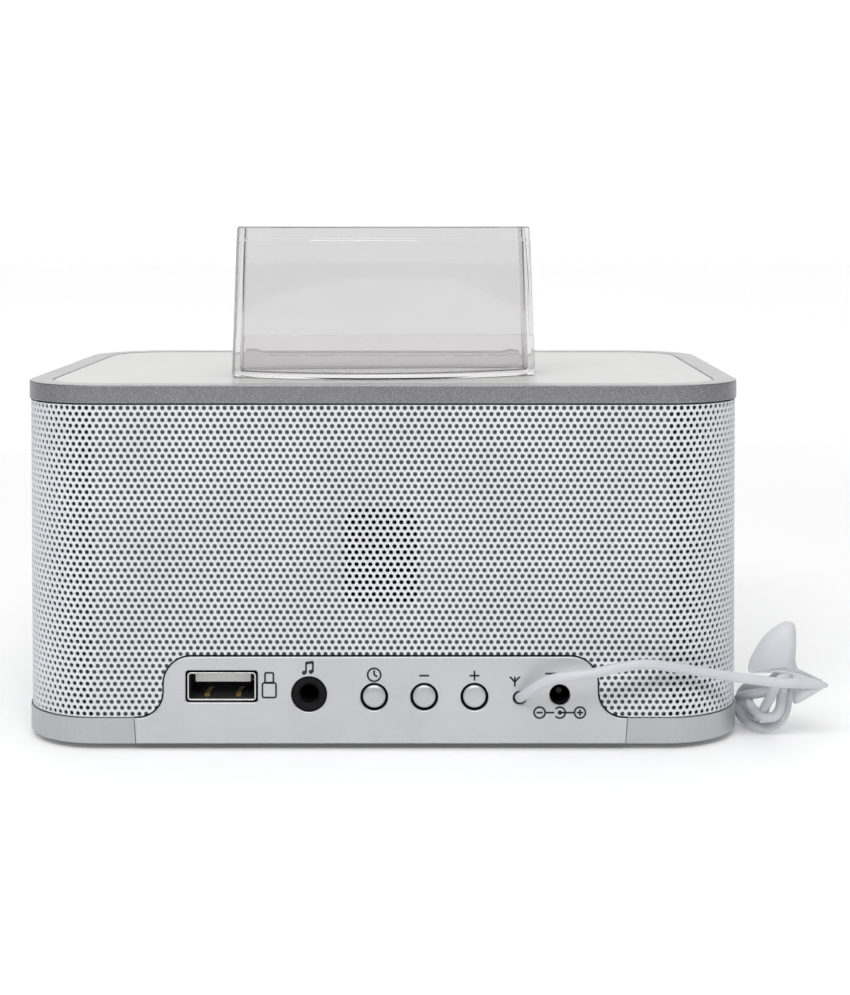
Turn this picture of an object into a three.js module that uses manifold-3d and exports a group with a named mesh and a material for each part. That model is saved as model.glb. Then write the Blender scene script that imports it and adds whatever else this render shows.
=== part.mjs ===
// A small clock radio with a wrap-round perforated grille, a silver base and rear connector panel,
// a metal-edged top and a clear phone tray. Millimetres, +Z up. The front faces -Y, the rear faces +Y,
// and the origin is on the surface it stands on, under the middle of the body.

import * as THREE from "three";
import { mergeVertices } from "three/addons/utils/BufferGeometryUtils.js";
import Module from "manifold-3d";

const wasm = await Module();
wasm.setup();

// ---- Driving dimensions -------------------------------------------------------------------------

const WIDTH = 140;
const DEPTH = 92;
const CORNER_R = 15.5;
const FOOT_H = 1;
const BODY_TOP = 69.7;
const GAP = 0.3;

const BAND_H = 3.5;
const BAND_RIM = 4.6;
const BASE_H = 4.9;
const SKIN = 2.1;
const WALL = 2;
const GRILLE_INSET = 0.3;
const GRILLE_T = 0.8;

const REAR = DEPTH / 2;
const FRONT = -DEPTH / 2;
const BASE_BOTTOM = FOOT_H;
const BASE_TOP = FOOT_H + BASE_H;
const BAND_BOTTOM = BODY_TOP - BAND_H;
const PLATE_TOP = FOOT_H + 2.2;
const SHELL_INSET = SKIN + GAP;
const SHELL_INNER = SHELL_INSET + WALL;
const SHELL_BOTTOM = PLATE_TOP + GAP;
const SHELL_TOP = BAND_BOTTOM - GAP;

const PANEL = { halfFoot: 47.2, half: 41.5, top: 17.7, shoulderR: 5.2, filletR: 5 };
const REAR_Z = 10;
const USB = { x: 30.4, z: 12, w: 13.1, h: 5.4, wall: 0.35 };
const AUX = { x: 13.7, z: 10.5, collarR: 3.25, boreR: 1.85 };
const DC = { x: -34.2, z: 10.4, boreR: 1.95, pinR: 0.65 };
const ANTENNA = { x: -26.5, z: REAR_Z, wireR: 0.95, holeR: 1.25 };
const REAR_BUTTONS = { time: 1.26, minus: -8.3, plus: -17.9 };
const REAR_CAP_R = 2.2;
const TRAVEL = 0.6;

const PORT = { w: 13.7, h: 17.9, r: 2.6, wall: 1.5, length: 38, z: 36.7 };
const SPEAKER = { x: 37.5, z: 36, frameR: 17, coneR: 14, magnetR: 11 };
const DISPLAY = { w: 38, h: 19, r: 3, z: 36 };

const TRAY = {
  half: 30.6, front: 15, side: 26, bow: 9.5, lipBow: 1, h: 30, lipH: 7.5, wall: 2, turn: 4.5, draft: 0.035,
};
const TRAY_PIVOT_Y = 25;
const TRAY_Z = BODY_TOP + 0.1;

const FOOT = { x: 52, y: 30, r: 5, h: 1.7 };
const SCREW_X = WIDTH / 2 - 9.5;
const SCREW_Y = DEPTH / 2 - 9.5;

// ---- Solids -------------------------------------------------------------------------------------

function toSolid(geometry) {
  const bare = geometry.index ? geometry.toNonIndexed() : geometry.clone();
  bare.deleteAttribute("normal");
  bare.deleteAttribute("uv");
  const merged = mergeVertices(bare, 1e-4);
  return new wasm.Manifold(new wasm.Mesh({
    numProp: 3,
    vertProperties: new Float32Array(merged.attributes.position.array),
    triVerts: new Uint32Array(merged.index.array),
  }));
}

function toGeometry(solid) {
  const mesh = solid.getMesh();
  const geometry = new THREE.BufferGeometry();
  geometry.setAttribute("position", new THREE.BufferAttribute(new Float32Array(mesh.vertProperties), 3));
  geometry.setIndex(new THREE.BufferAttribute(new Uint32Array(mesh.triVerts), 1));
  geometry.computeVertexNormals();
  return geometry;
}

function join(...geometries) {
  return toGeometry(geometries.map(toSolid).reduce((whole, next) => whole.add(next)));
}

function cut(geometry, ...tools) {
  return toGeometry(tools.map(toSolid).reduce((left, tool) => left.subtract(tool), toSolid(geometry)));
}

function box(x0, x1, y0, y1, z0, z1) {
  const geometry = new THREE.BoxGeometry(x1 - x0, y1 - y0, z1 - z0);
  return geometry.translate((x0 + x1) / 2, (y0 + y1) / 2, (z0 + z1) / 2);
}

// A box given by its middle in X and Z, its size in X and Z, and the Y it runs between.
function block(x, z, w, h, y0, y1) {
  return box(x - w / 2, x + w / 2, y0, y1, z - h / 2, z + h / 2);
}

// An upright prism between two heights. Each quarter turn gets twice curveSegments steps.
function prism(shape, z0, z1, curveSegments = 5) {
  const geometry = new THREE.ExtrudeGeometry(shape, { depth: z1 - z0, bevelEnabled: false, curveSegments });
  return geometry.translate(0, 0, z0);
}

// A plate whose outline is drawn in X and Z and whose thickness runs from y0 to y1.
function sheet(shape, y0, y1, curveSegments = 4) {
  const geometry = new THREE.ExtrudeGeometry(shape, { depth: y1 - y0, bevelEnabled: false, curveSegments });
  return geometry.rotateX(Math.PI / 2).translate(0, y1, 0);
}

// A turned piece. The profile is [radius, height] pairs from the bottom up.
function turned(profile, sides = 24) {
  return new THREE.LatheGeometry(profile.map(([r, h]) => new THREE.Vector2(r, h)), sides);
}

function rodUp(r, z0, z1, x, y, sides = 24) {
  return turned([[0, z0], [r, z0], [r, z1], [0, z1]], sides).rotateX(Math.PI / 2).translate(x, y, 0);
}

function rodBack(r, y0, y1, x, z, sides = 24) {
  return turned([[0, y0], [r, y0], [r, y1], [0, y1]], sides).translate(x, 0, z);
}

function roundedRect(w, h, r, cx = 0, cy = 0) {
  const shape = new THREE.Shape();
  const x = w / 2 - r;
  const y = h / 2 - r;
  shape.absarc(cx + x, cy - y, r, -Math.PI / 2, 0);
  shape.absarc(cx + x, cy + y, r, 0, Math.PI / 2);
  shape.absarc(cx - x, cy + y, r, Math.PI / 2, Math.PI);
  shape.absarc(cx - x, cy - y, r, Math.PI, Math.PI * 1.5);
  shape.closePath();
  return shape;
}

// The body's plan outline, drawn in by an inset.
function bodyOutline(inset) {
  return roundedRect(WIDTH - 2 * inset, DEPTH - 2 * inset, CORNER_R - inset);
}

function bodyRing(outer, inner, z0, z1) {
  const shape = bodyOutline(outer);
  shape.holes.push(bodyOutline(inner));
  return prism(shape, z0, z1);
}

// The connector panel's outline: a strip the height of the base that rises through two concave
// fillets to a wide tab with round shoulders. grow moves the raised part outward for clearance.
function panelOutline(grow) {
  const { halfFoot, half, top, shoulderR, filletR } = PANEL;
  const step = BASE_TOP + grow;
  const side = half + grow;
  const fillet = filletR - grow;
  const shoulder = shoulderR + grow;
  const shape = new THREE.Shape();
  shape.moveTo(-halfFoot, BASE_BOTTOM);
  shape.lineTo(halfFoot, BASE_BOTTOM);
  shape.lineTo(halfFoot, step);
  shape.absarc(side + fillet, step + fillet, fillet, -Math.PI / 2, -Math.PI, true);
  shape.absarc(side - shoulder, top + grow - shoulder, shoulder, 0, Math.PI / 2);
  shape.absarc(-(side - shoulder), top + grow - shoulder, shoulder, Math.PI / 2, Math.PI);
  shape.absarc(-(side + fillet), step + fillet, fillet, 0, -Math.PI / 2, true);
  shape.lineTo(-halfFoot, step);
  shape.closePath();
  return shape;
}

// ---- Assembly -----------------------------------------------------------------------------------

const clockRadio = new THREE.Group();
clockRadio.name = "clock_radio";

function part(name, geometry, { color, roughness = 0.5, metalness = 0 }) {
  const mesh = new THREE.Mesh(geometry, new THREE.MeshStandardMaterial({ color, roughness, metalness }));
  mesh.name = name;
  clockRadio.add(mesh);
  return mesh;
}

const LOOK = {
  silver: { color: 0xc8c9cd, roughness: 0.42, metalness: 0.6 },
  band: { color: 0x9a9ca3, roughness: 0.4, metalness: 0.75 },
  whiteSteel: { color: 0xe6e9e6, roughness: 0.45, metalness: 0.1 },
  whitePlastic: { color: 0xe9e9ea, roughness: 0.35 },
  greyPlastic: { color: 0xb9bcbc, roughness: 0.6 },
  darkPlastic: { color: 0x1b1b1d, roughness: 0.4 },
  clear: { color: 0xdfe1e3, roughness: 0.05 },
  rubber: { color: 0x3a3a3c, roughness: 0.85 },
  steel: { color: 0xbfc0c2, roughness: 0.3, metalness: 0.95 },
  board: { color: 0x1f5a34, roughness: 0.55 },
  magnet: { color: 0x4b4d50, roughness: 0.5, metalness: 0.5 },
  paper: { color: 0x2a2a2c, roughness: 0.8 },
  vinyl: { color: 0xe9e9ee, roughness: 0.5 },
};

// ---- Outer shell --------------------------------------------------------------------------------

function topBand() {
  const skirt = bodyRing(0, SKIN, BAND_BOTTOM, BODY_TOP - WALL);
  const rim = bodyRing(0, BAND_RIM, BODY_TOP - WALL, BODY_TOP);
  return join(skirt, rim);
}

const TOP_BUTTON_Y = FRONT + 12;
const TOP_BUTTONS = {
  alarm_button: { x: -26, half: 0 },
  source_button: { x: -17.5, half: 0 },
  snooze_bar: { x: 0, half: 8.8 },
  volume_down_button: { x: 17.5, half: 0 },
  volume_up_button: { x: 26, half: 0 },
};
const TOP_CAP_R = 3.2;
const PEG = { x: 12, r: 1.5, h: 1.1, holeR: 2.5 };
const TOP_BOARD_TOP = 59.1;
const TOP_POST = { x: 33, y: TOP_BUTTON_Y, r: 2 };

// A button's plan outline: round, or a bar with round ends when half is more than zero.
function stadium(x, y, half, r) {
  return roundedRect(2 * (half + r), 2 * r, r - 0.001, x, y);
}

function topPanel() {
  const flange = prism(bodyOutline(SHELL_INSET), BAND_BOTTOM, BODY_TOP - WALL - GAP);
  const centre = prism(bodyOutline(BAND_RIM + GAP), BAND_BOTTOM + 0.5, BODY_TOP - 0.1);
  const posts = [-1, 1].map((side) => (
    rodUp(TOP_POST.r, TOP_BOARD_TOP + GAP, BAND_BOTTOM + 1, side * TOP_POST.x, TOP_POST.y)
  ));
  const buttonHoles = Object.values(TOP_BUTTONS).map(({ x, half }) => (
    prism(stadium(x, TOP_BUTTON_Y, half, TOP_CAP_R + GAP), BAND_BOTTOM - 1, BODY_TOP + 1, 3)
  ));
  const pegHoles = [-1, 1].map((side) => (
    rodUp(PEG.holeR, BODY_TOP - 1.5, BODY_TOP + 1, side * PEG.x, TRAY_PIVOT_Y)
  ));
  return cut(join(flange, centre, ...posts), ...buttonHoles, ...pegHoles);
}

// A rectangular opening with round corners, cut front to back through whatever lies between y0 and y1.
function opening(w, h, r, x, z, y0, y1) {
  return sheet(roundedRect(w, h, r, x, z), y0, y1);
}

function grille() {
  const wrap = bodyRing(GRILLE_INSET, GRILLE_INSET + GRILLE_T, BASE_TOP + GAP, SHELL_TOP);
  const panelGap = sheet(panelOutline(GAP), REAR - 5, REAR + 5);
  const window = opening(
    DISPLAY.w + 2 * GAP, DISPLAY.h + 2 * GAP, DISPLAY.r + GAP, 0, DISPLAY.z, FRONT - 5, FRONT + 5,
  );
  return cut(wrap, panelGap, window);
}

const BOSS = { r: 3.5, top: 20, boreR: 1.2, boreTop: 15 };
const CORNERS = [[1, 1], [-1, 1], [-1, -1], [1, -1]];

function cabinet() {
  const walls = bodyRing(SHELL_INSET, SHELL_INNER, SHELL_BOTTOM, SHELL_TOP);
  const boss = ([sx, sy]) => rodUp(BOSS.r, SHELL_BOTTOM, BOSS.top, sx * SCREW_X, sy * SCREW_Y, 20);
  const bosses = CORNERS.map(boss);
  const bores = CORNERS.map(([sx, sy]) => (
    rodUp(BOSS.boreR, SHELL_BOTTOM - 1, BOSS.boreTop, sx * SCREW_X, sy * SCREW_Y, 16)
  ));
  const tubeW = PORT.w + 2 * PORT.wall + 2 * GAP;
  const tubeH = PORT.h + 2 * PORT.wall + 2 * GAP;
  const portHole = opening(tubeW, tubeH, PORT.r + PORT.wall + GAP, 0, PORT.z, REAR - 8, REAR);
  const jackWindow = opening(80, 11, 3, 0, 11, REAR - 8, REAR);
  const displayHole = opening(DISPLAY.w - 2, DISPLAY.h - 2, 1, 0, DISPLAY.z, FRONT, FRONT + 8);
  const speakerHoles = [-1, 1].map((side) => (
    rodBack(SPEAKER.coneR + 1, FRONT, FRONT + 8, side * SPEAKER.x, SPEAKER.z, 32)
  ));
  return cut(join(walls, ...bosses), ...bores, portHole, jackWindow, displayHole, ...speakerHoles);
}

function portTube() {
  const shape = roundedRect(PORT.w + 2 * PORT.wall, PORT.h + 2 * PORT.wall, PORT.r + PORT.wall, 0, PORT.z);
  shape.holes.push(roundedRect(PORT.w, PORT.h, PORT.r, 0, PORT.z));
  return sheet(shape, REAR - SHELL_INSET - PORT.length, REAR - SHELL_INSET);
}

const SEAM_LEAN = 0.5;

// The wedge taken out of the base ring for the rear panel: its two ends lean a little.
function panelWedge() {
  const shape = new THREE.Shape();
  const foot = PANEL.halfFoot + GAP;
  shape.moveTo(-foot - SEAM_LEAN, 0);
  shape.lineTo(foot + SEAM_LEAN, 0);
  shape.lineTo(foot, BASE_TOP + 1);
  shape.lineTo(-foot, BASE_TOP + 1);
  shape.closePath();
  return sheet(shape, REAR - 8, REAR + 1);
}

function baseRing() {
  return cut(bodyRing(0, SKIN, BASE_BOTTOM, BASE_TOP), panelWedge());
}

function rearPanel() {
  const plate = sheet(panelOutline(0), REAR - SKIN, REAR);
  const y0 = REAR - SKIN - 1;
  const y1 = REAR + 1;
  const usbHole = opening(USB.w + 0.7, USB.h + 0.7, 0.5, USB.x, USB.z, y0, y1);
  const auxHole = rodBack(AUX.collarR + 0.2, y0, y1, AUX.x, AUX.z, 32);
  const dcHole = rodBack(DC.boreR, y0, y1, DC.x, DC.z, 28);
  const wireHole = rodBack(ANTENNA.holeR, y0, y1, ANTENNA.x, ANTENNA.z, 20);
  const buttonHoles = Object.values(REAR_BUTTONS).map((x) => (
    rodBack(REAR_CAP_R + 0.45, y0, y1, x, REAR_Z, 28)
  ));
  return cut(plate, usbHole, auxHole, dcHole, wireHole, ...buttonHoles);
}

const BOARD_POST = { x: 46, front: -30, back: 20, r: 2.5, top: 6.7 };
const SCREW = { headR: 2.4, headBottom: 1.2, headTop: 2.2, shaftR: 0.8, top: 13 };

function bottomPlate() {
  const plate = prism(bodyOutline(SHELL_INSET), BASE_BOTTOM, PLATE_TOP);
  const posts = [];
  for (const side of [-1, 1]) {
    for (const y of [BOARD_POST.front, BOARD_POST.back]) {
      posts.push(rodUp(BOARD_POST.r, PLATE_TOP - 0.5, BOARD_POST.top, side * BOARD_POST.x, y, 16));
    }
  }
  const cuts = [];
  for (const [sx, sy] of CORNERS) {
    cuts.push(rodUp(FOOT.r + GAP, 0, FOOT.h + GAP, sx * FOOT.x, sy * FOOT.y));
    cuts.push(rodUp(SCREW.headR + GAP, 0, SCREW.headTop + 0.15, sx * SCREW_X, sy * SCREW_Y, 20));
    cuts.push(rodUp(SCREW.shaftR + 0.4, 0, PLATE_TOP + 1, sx * SCREW_X, sy * SCREW_Y, 16));
  }
  return cut(join(plate, ...posts), ...cuts);
}

function screw(x, y) {
  const { headR, headBottom, headTop, shaftR, top } = SCREW;
  const head = [[0, headBottom], [headR, headBottom], [headR, headTop]];
  const profile = [...head, [shaftR, headTop], [shaftR, top], [0, top]];
  return turned(profile, 16).rotateX(Math.PI / 2).translate(x, y, 0);
}

function foot(x, y) {
  const rim = 0.5;
  const profile = [[0, 0], [FOOT.r - rim, 0], [FOOT.r, rim], [FOOT.r, FOOT.h], [0, FOOT.h]];
  return turned(profile).rotateX(Math.PI / 2).translate(x, y, 0);
}

part("top_band", topBand(), LOOK.band);
part("top_panel", topPanel(), LOOK.whitePlastic);
part("grille", grille(), LOOK.whiteSteel);
part("cabinet", cabinet(), LOOK.greyPlastic);
part("port_tube", portTube(), LOOK.darkPlastic);
part("base_ring", baseRing(), LOOK.silver);
part("rear_panel", rearPanel(), LOOK.silver);
part("bottom_plate", bottomPlate(), LOOK.darkPlastic);
CORNERS.forEach(([sx, sy], i) => {
  part(`foot_${i + 1}`, foot(sx * FOOT.x, sy * FOOT.y), LOOK.rubber);
  part(`bottom_screw_${i + 1}`, screw(sx * SCREW_X, sy * SCREW_Y), LOOK.steel);
});

// ---- Phone tray ---------------------------------------------------------------------------------

// An arc from one point to another that bulges by a given amount to the right of its direction.
function arcPoints(x0, y0, x1, y1, bulge, count) {
  const points = [];
  const along = new THREE.Vector2(x1 - x0, y1 - y0);
  const side = new THREE.Vector2(along.y, -along.x).normalize();
  for (let i = 0; i <= count; i += 1) {
    const t = i / count;
    const out = bulge * 4 * t * (1 - t);
    points.push(new THREE.Vector2(x0 + along.x * t + side.x * out, y0 + along.y * t + side.y * out));
  }
  return points;
}

// The tray's plan outline: a lip bowed forward, two straight sides and a back bowed rearward.
function trayOutline(inset) {
  const half = TRAY.half - inset;
  const front = TRAY.front + inset;
  const side = TRAY.side - inset * 0.6;
  const shape = new THREE.Shape();
  shape.setFromPoints([
    ...arcPoints(-half, front, half, front, TRAY.lipBow, 6),
    ...arcPoints(half, side, -half, side, TRAY.bow - inset * 0.4, 16),
  ]);
  return shape;
}

// Draws the tray in evenly toward its top, as a moulded piece has to be.
function addDraft(geometry) {
  const place = geometry.attributes.position;
  for (let i = 0; i < place.count; i += 1) {
    const rise = (place.getZ(i) - TRAY_Z) / TRAY.h;
    place.setX(i, place.getX(i) * (1 - TRAY.draft * Math.max(rise, 0)));
  }
  return geometry;
}

function phoneTray() {
  const outer = prism(trayOutline(0), TRAY_Z, TRAY_Z + TRAY.h);
  const pocket = prism(trayOutline(TRAY.wall), TRAY_Z + TRAY.wall, TRAY_Z + TRAY.h + 1);
  const inner = TRAY.half - TRAY.wall;
  const mouth = box(-inner, inner, TRAY.front - 5, TRAY.front + 3, TRAY_Z + TRAY.lipH, TRAY_Z + TRAY.h + 1);
  const tray = cut(outer, pocket, mouth);
  const pegs = [-1, 1].map((side) => (
    rodUp(PEG.r, TRAY_Z - PEG.h, TRAY_Z + 0.5, side * PEG.x, TRAY_PIVOT_Y, 16)
  ));
  const whole = join(addDraft(tray), ...pegs);
  whole.translate(0, -TRAY_PIVOT_Y, 0);
  whole.rotateZ(THREE.MathUtils.degToRad(TRAY.turn));
  return whole.translate(0, TRAY_PIVOT_Y, 0);
}

part("phone_tray", phoneTray(), LOOK.clear);

// ---- Speakers and display -----------------------------------------------------------------------

const BAFFLE = FRONT + SHELL_INNER + GAP;

// The frame is a flange and a tapering basket, open in front for the cone and behind for the magnet.
function speakerFrame(side) {
  const { frameR, coneR, magnetR } = SPEAKER;
  const throat = magnetR - 5;
  const profile = [
    [throat, BAFFLE + 10], [coneR - 0.6, BAFFLE + 2], [coneR + 0.6, BAFFLE], [frameR, BAFFLE],
    [frameR, BAFFLE + 1.6], [coneR + 1.2, BAFFLE + 1.6],
    [throat + 1.5, BAFFLE + 11.2], [throat, BAFFLE + 11.2],
    [throat, BAFFLE + 10],
  ];
  return turned(profile, 28).translate(side * SPEAKER.x, 0, SPEAKER.z);
}

// The cone runs from its round surround in front to the dust cap in the middle.
function speakerCone(side) {
  const { coneR } = SPEAKER;
  const rim = coneR - 1.4;
  const profile = [
    [0, BAFFLE + 3.6], [3.6, BAFFLE + 5], [rim - 2.4, BAFFLE + 1],
    [rim - 1.2, BAFFLE + 0.2], [rim, BAFFLE + 1],
    [rim, BAFFLE + 1.6], [rim - 2.4, BAFFLE + 1.8], [4.2, BAFFLE + 6.6], [0, BAFFLE + 6.6],
  ];
  return turned(profile, 28).translate(side * SPEAKER.x, 0, SPEAKER.z);
}

function speakerMagnet(side) {
  return rodBack(SPEAKER.magnetR, BAFFLE + 11.5, BAFFLE + 19, side * SPEAKER.x, SPEAKER.z, 28);
}

for (const [name, side] of [["left", -1], ["right", 1]]) {
  part(`speaker_frame_${name}`, speakerFrame(side), LOOK.steel);
  part(`speaker_cone_${name}`, speakerCone(side), LOOK.paper);
  part(`speaker_magnet_${name}`, speakerMagnet(side), LOOK.magnet);
}

const LENS_BACK = FRONT + SHELL_INSET - GAP;
const MODULE = { w: 34, h: 15, t: 6 };

const displayWindow = opening(DISPLAY.w, DISPLAY.h, DISPLAY.r, 0, DISPLAY.z, FRONT + 0.1, LENS_BACK);
part("display_window", displayWindow, LOOK.darkPlastic);
part(
  "display_module",
  block(0, DISPLAY.z, MODULE.w, MODULE.h, LENS_BACK + GAP, LENS_BACK + GAP + MODULE.t),
  LOOK.darkPlastic,
);
part(
  "display_board",
  block(0, DISPLAY.z, 36, 26, LENS_BACK + 2 * GAP + MODULE.t, LENS_BACK + 2 * GAP + MODULE.t + 1.6),
  LOOK.board,
);

// ---- Boards and what is on them -----------------------------------------------------------------

const REAR_BOARD = { y0: 28, y1: 29.6, half: 39.5, z0: SHELL_BOTTOM, z1: 20 };
const ON_REAR_BOARD = REAR_BOARD.y1 + GAP;
const JACK_FACE = REAR - SKIN - GAP;
const MAIN_BOARD = { half: 50, y0: -34, y1: 25, z0: BOARD_POST.top + GAP, z1: BOARD_POST.top + GAP + 1.6 };
const ON_MAIN_BOARD = MAIN_BOARD.z1 + GAP;

part(
  "main_board",
  box(-MAIN_BOARD.half, MAIN_BOARD.half, MAIN_BOARD.y0, MAIN_BOARD.y1, MAIN_BOARD.z0, MAIN_BOARD.z1),
  LOOK.board,
);
part("tuner_shield", box(-32, -10, -12, 6, ON_MAIN_BOARD, ON_MAIN_BOARD + 5), LOOK.steel);
part("amplifier_heatsink", box(14, 34, -20, -10, ON_MAIN_BOARD, ON_MAIN_BOARD + 10), LOOK.steel);
part("supply_capacitor", rodUp(5, ON_MAIN_BOARD, ON_MAIN_BOARD + 14, 26, 4), LOOK.darkPlastic);
part(
  "rear_board",
  box(-REAR_BOARD.half, REAR_BOARD.half, REAR_BOARD.y0, REAR_BOARD.y1, REAR_BOARD.z0, REAR_BOARD.z1),
  LOOK.board,
);

function usbShell() {
  const outside = roundedRect(USB.w, USB.h, 0.6, USB.x, USB.z);
  outside.holes.push(roundedRect(USB.w - 2 * USB.wall, USB.h - 2 * USB.wall, 0.3, USB.x, USB.z));
  return sheet(outside, ON_REAR_BOARD, REAR - 0.1, 2);
}

// The tongue is a plastic blade in the socket's upper half, on a block that fills the socket's back.
function usbTongue() {
  const inside = { w: USB.w - 2 * USB.wall - 0.3, h: USB.h - 2 * USB.wall - 0.3 };
  const back = block(USB.x, USB.z, inside.w, inside.h, ON_REAR_BOARD, ON_REAR_BOARD + 3);
  const blade = block(USB.x, USB.z + 1.2, inside.w - 1.4, 1.8, ON_REAR_BOARD + 2, REAR - 2.5);
  return join(back, blade);
}

function auxJack() {
  const body = block(AUX.x, AUX.z, 8, 8, ON_REAR_BOARD, JACK_FACE);
  const collar = rodBack(AUX.collarR, JACK_FACE - 1, REAR - 0.1, AUX.x, AUX.z, 32);
  return cut(join(body, collar), rodBack(AUX.boreR, ON_REAR_BOARD + 2, REAR + 1, AUX.x, AUX.z, 24));
}

const DC_FLOOR = ON_REAR_BOARD + 4;

function dcJack() {
  const body = block(DC.x, DC.z, 8.4, 8.4, ON_REAR_BOARD, JACK_FACE);
  return cut(body, rodBack(DC.boreR, DC_FLOOR, REAR + 1, DC.x, DC.z, 24));
}

part("usb_shell", usbShell(), LOOK.steel);
part("usb_tongue", usbTongue(), LOOK.whitePlastic);
part("aux_jack", auxJack(), LOOK.darkPlastic);
part("dc_jack", dcJack(), LOOK.darkPlastic);
part("dc_pin", rodBack(DC.pinR, DC_FLOOR + GAP, JACK_FACE - 1, DC.x, DC.z, 12), LOOK.steel);

// ---- Buttons ------------------------------------------------------------------------------------

const SWITCH = { size: 6, depth: 3.8, floor: 0.8, boreR: 2, plungerR: 1.6 };
const PLUNGER_TOP = SWITCH.depth + 0.8;

// A tact switch: a square housing with a round well for its plunger, drawn standing on z = 0.
function switchHousing() {
  const { size, depth, floor, boreR } = SWITCH;
  const body = box(-size / 2, size / 2, -size / 2, size / 2, 0, depth);
  return cut(body, rodUp(boreR, floor, depth + 1, 0, 0, 20));
}

// The plunger hangs clear of the well's floor by a little more than the travel.
function switchPlunger() {
  return rodUp(SWITCH.plungerR, SWITCH.floor + TRAVEL + 0.1, PLUNGER_TOP, 0, 0, 16);
}

function faceRear(geometry, x, y, z) {
  return geometry.rotateX(-Math.PI / 2).translate(x, y, z);
}

// A rear button is a low dome on a flange, with a stem that reaches in to the plunger.
function rearCap(x) {
  const stemStart = ON_REAR_BOARD + PLUNGER_TOP + GAP;
  const flange = REAR - SKIN - GAP;
  const profile = [
    [0, stemStart], [1.3, stemStart], [1.3, flange - 1.2], [3.2, flange - 1.2], [3.2, flange],
    [REAR_CAP_R, flange], [REAR_CAP_R, REAR - 0.4], [REAR_CAP_R - 0.5, REAR - 0.1], [0, REAR],
  ];
  return turned(profile, 28).translate(x, 0, REAR_Z);
}

for (const [name, x] of Object.entries(REAR_BUTTONS)) {
  part(`${name}_button`, rearCap(x), LOOK.silver);
  part(`${name}_plunger`, faceRear(switchPlunger(), x, ON_REAR_BOARD, REAR_Z), LOOK.darkPlastic);
  part(`${name}_switch`, faceRear(switchHousing(), x, ON_REAR_BOARD, REAR_Z), LOOK.darkPlastic);
}

const ON_TOP_BOARD = TOP_BOARD_TOP + GAP;

// A top button's stem goes down into its switch, so it is the switch's plunger as well.
function topCap(x, half) {
  const flangeTop = BAND_BOTTOM - GAP;
  const cap = prism(stadium(x, TOP_BUTTON_Y, half, TOP_CAP_R), flangeTop - 0.5, BODY_TOP + 0.1, 3);
  const flange = prism(stadium(x, TOP_BUTTON_Y, half, TOP_CAP_R + 0.9), flangeTop - 1, flangeTop, 3);
  const stemBottom = ON_TOP_BOARD + SWITCH.floor + TRAVEL + 0.1;
  const stem = rodUp(SWITCH.plungerR, stemBottom, flangeTop - 0.5, x, TOP_BUTTON_Y, 16);
  return join(cap, flange, stem);
}

part(
  "top_board",
  box(-36, 36, TOP_BUTTON_Y - 5, TOP_BUTTON_Y + 6, TOP_BOARD_TOP - 1.6, TOP_BOARD_TOP),
  LOOK.board,
);
for (const [name, { x, half }] of Object.entries(TOP_BUTTONS)) {
  part(name, topCap(x, half), LOOK.whitePlastic);
  part(`${name}_switch`, switchHousing().translate(x, TOP_BUTTON_Y, ON_TOP_BOARD), LOOK.darkPlastic);
}

// ---- Wire antenna -------------------------------------------------------------------------------

// From the hole in the rear panel the wire bows out, crosses the corner of the grille and turns
// back on itself beyond the body's side, where the rest of it is tied up in a small upright hank.
const WIRE_ROUTE = [
  [-26.5, 43.9, 9.7], [-26.6, 46, 9.9], [-27.2, 47.8, 10.8], [-28.4, 49.2, 12.1], [-30.2, 50.4, 13.5],
  [-32.4, 51.2, 14.7], [-35, 51.8, 15.4], [-40.2, 52, 16.1], [-45.1, 51.6, 17.1], [-50.6, 50.2, 17.3],
  [-56, 48.6, 16.3], [-62.7, 46.9, 14.8], [-70.6, 45.6, 13.3], [-76, 44.9, 12.5], [-79, 44.4, 12.2],
  [-81.3, 43.2, 11.9], [-82.2, 41.3, 11.5],
];

function antennaWire() {
  const route = new THREE.CatmullRomCurve3(WIRE_ROUTE.map(([x, y, z]) => new THREE.Vector3(x, y, z)));
  const section = new THREE.Shape();
  section.absarc(0, 0, ANTENNA.wireR, 0, Math.PI * 2);
  const options = { steps: 40, curveSegments: 4, extrudePath: route, bevelEnabled: false };
  return new THREE.ExtrudeGeometry(section, options);
}

const HANK = { x: -76.3, z: 6.8, w: 11.2, h: 13, y0: 24, y1: 39.6 };

// The hank's outer shape: an upright oval of loops, with the soft tie over its top.
function antennaHank() {
  return opening(HANK.w, HANK.h, HANK.w / 2 - 0.2, HANK.x, HANK.z, HANK.y0, HANK.y1);
}

// The tie is a soft strip folded over the hank, standing up in a fin and trailing off to a tip.
function antennaTie() {
  const shape = new THREE.Shape();
  const bottom = HANK.z + HANK.h / 2 + GAP;
  shape.moveTo(HANK.x + 3.8, bottom);
  shape.lineTo(HANK.x - 5.4, bottom);
  shape.lineTo(HANK.x - 4.6, bottom + 9);
  shape.quadraticCurveTo(HANK.x + 1, bottom + 8, HANK.x + 3.8, bottom);
  return sheet(shape, HANK.y1 - 4, HANK.y1, 4);
}

part("antenna_terminal", block(ANTENNA.x, ANTENNA.z, 4.6, 5, ON_REAR_BOARD, JACK_FACE), LOOK.darkPlastic);
part("antenna_wire", antennaWire(), LOOK.vinyl);
part("antenna_hank", antennaHank(), LOOK.vinyl);
part("antenna_tie", antennaTie(), LOOK.vinyl);

export default clockRadio;
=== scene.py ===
"""The clock radio's looks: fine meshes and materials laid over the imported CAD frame. Metres throughout."""

import math

import bmesh
import bpy
import numpy as np
from mathutils import Matrix, Vector
from mathutils.geometry import tessellate_polygon


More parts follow.
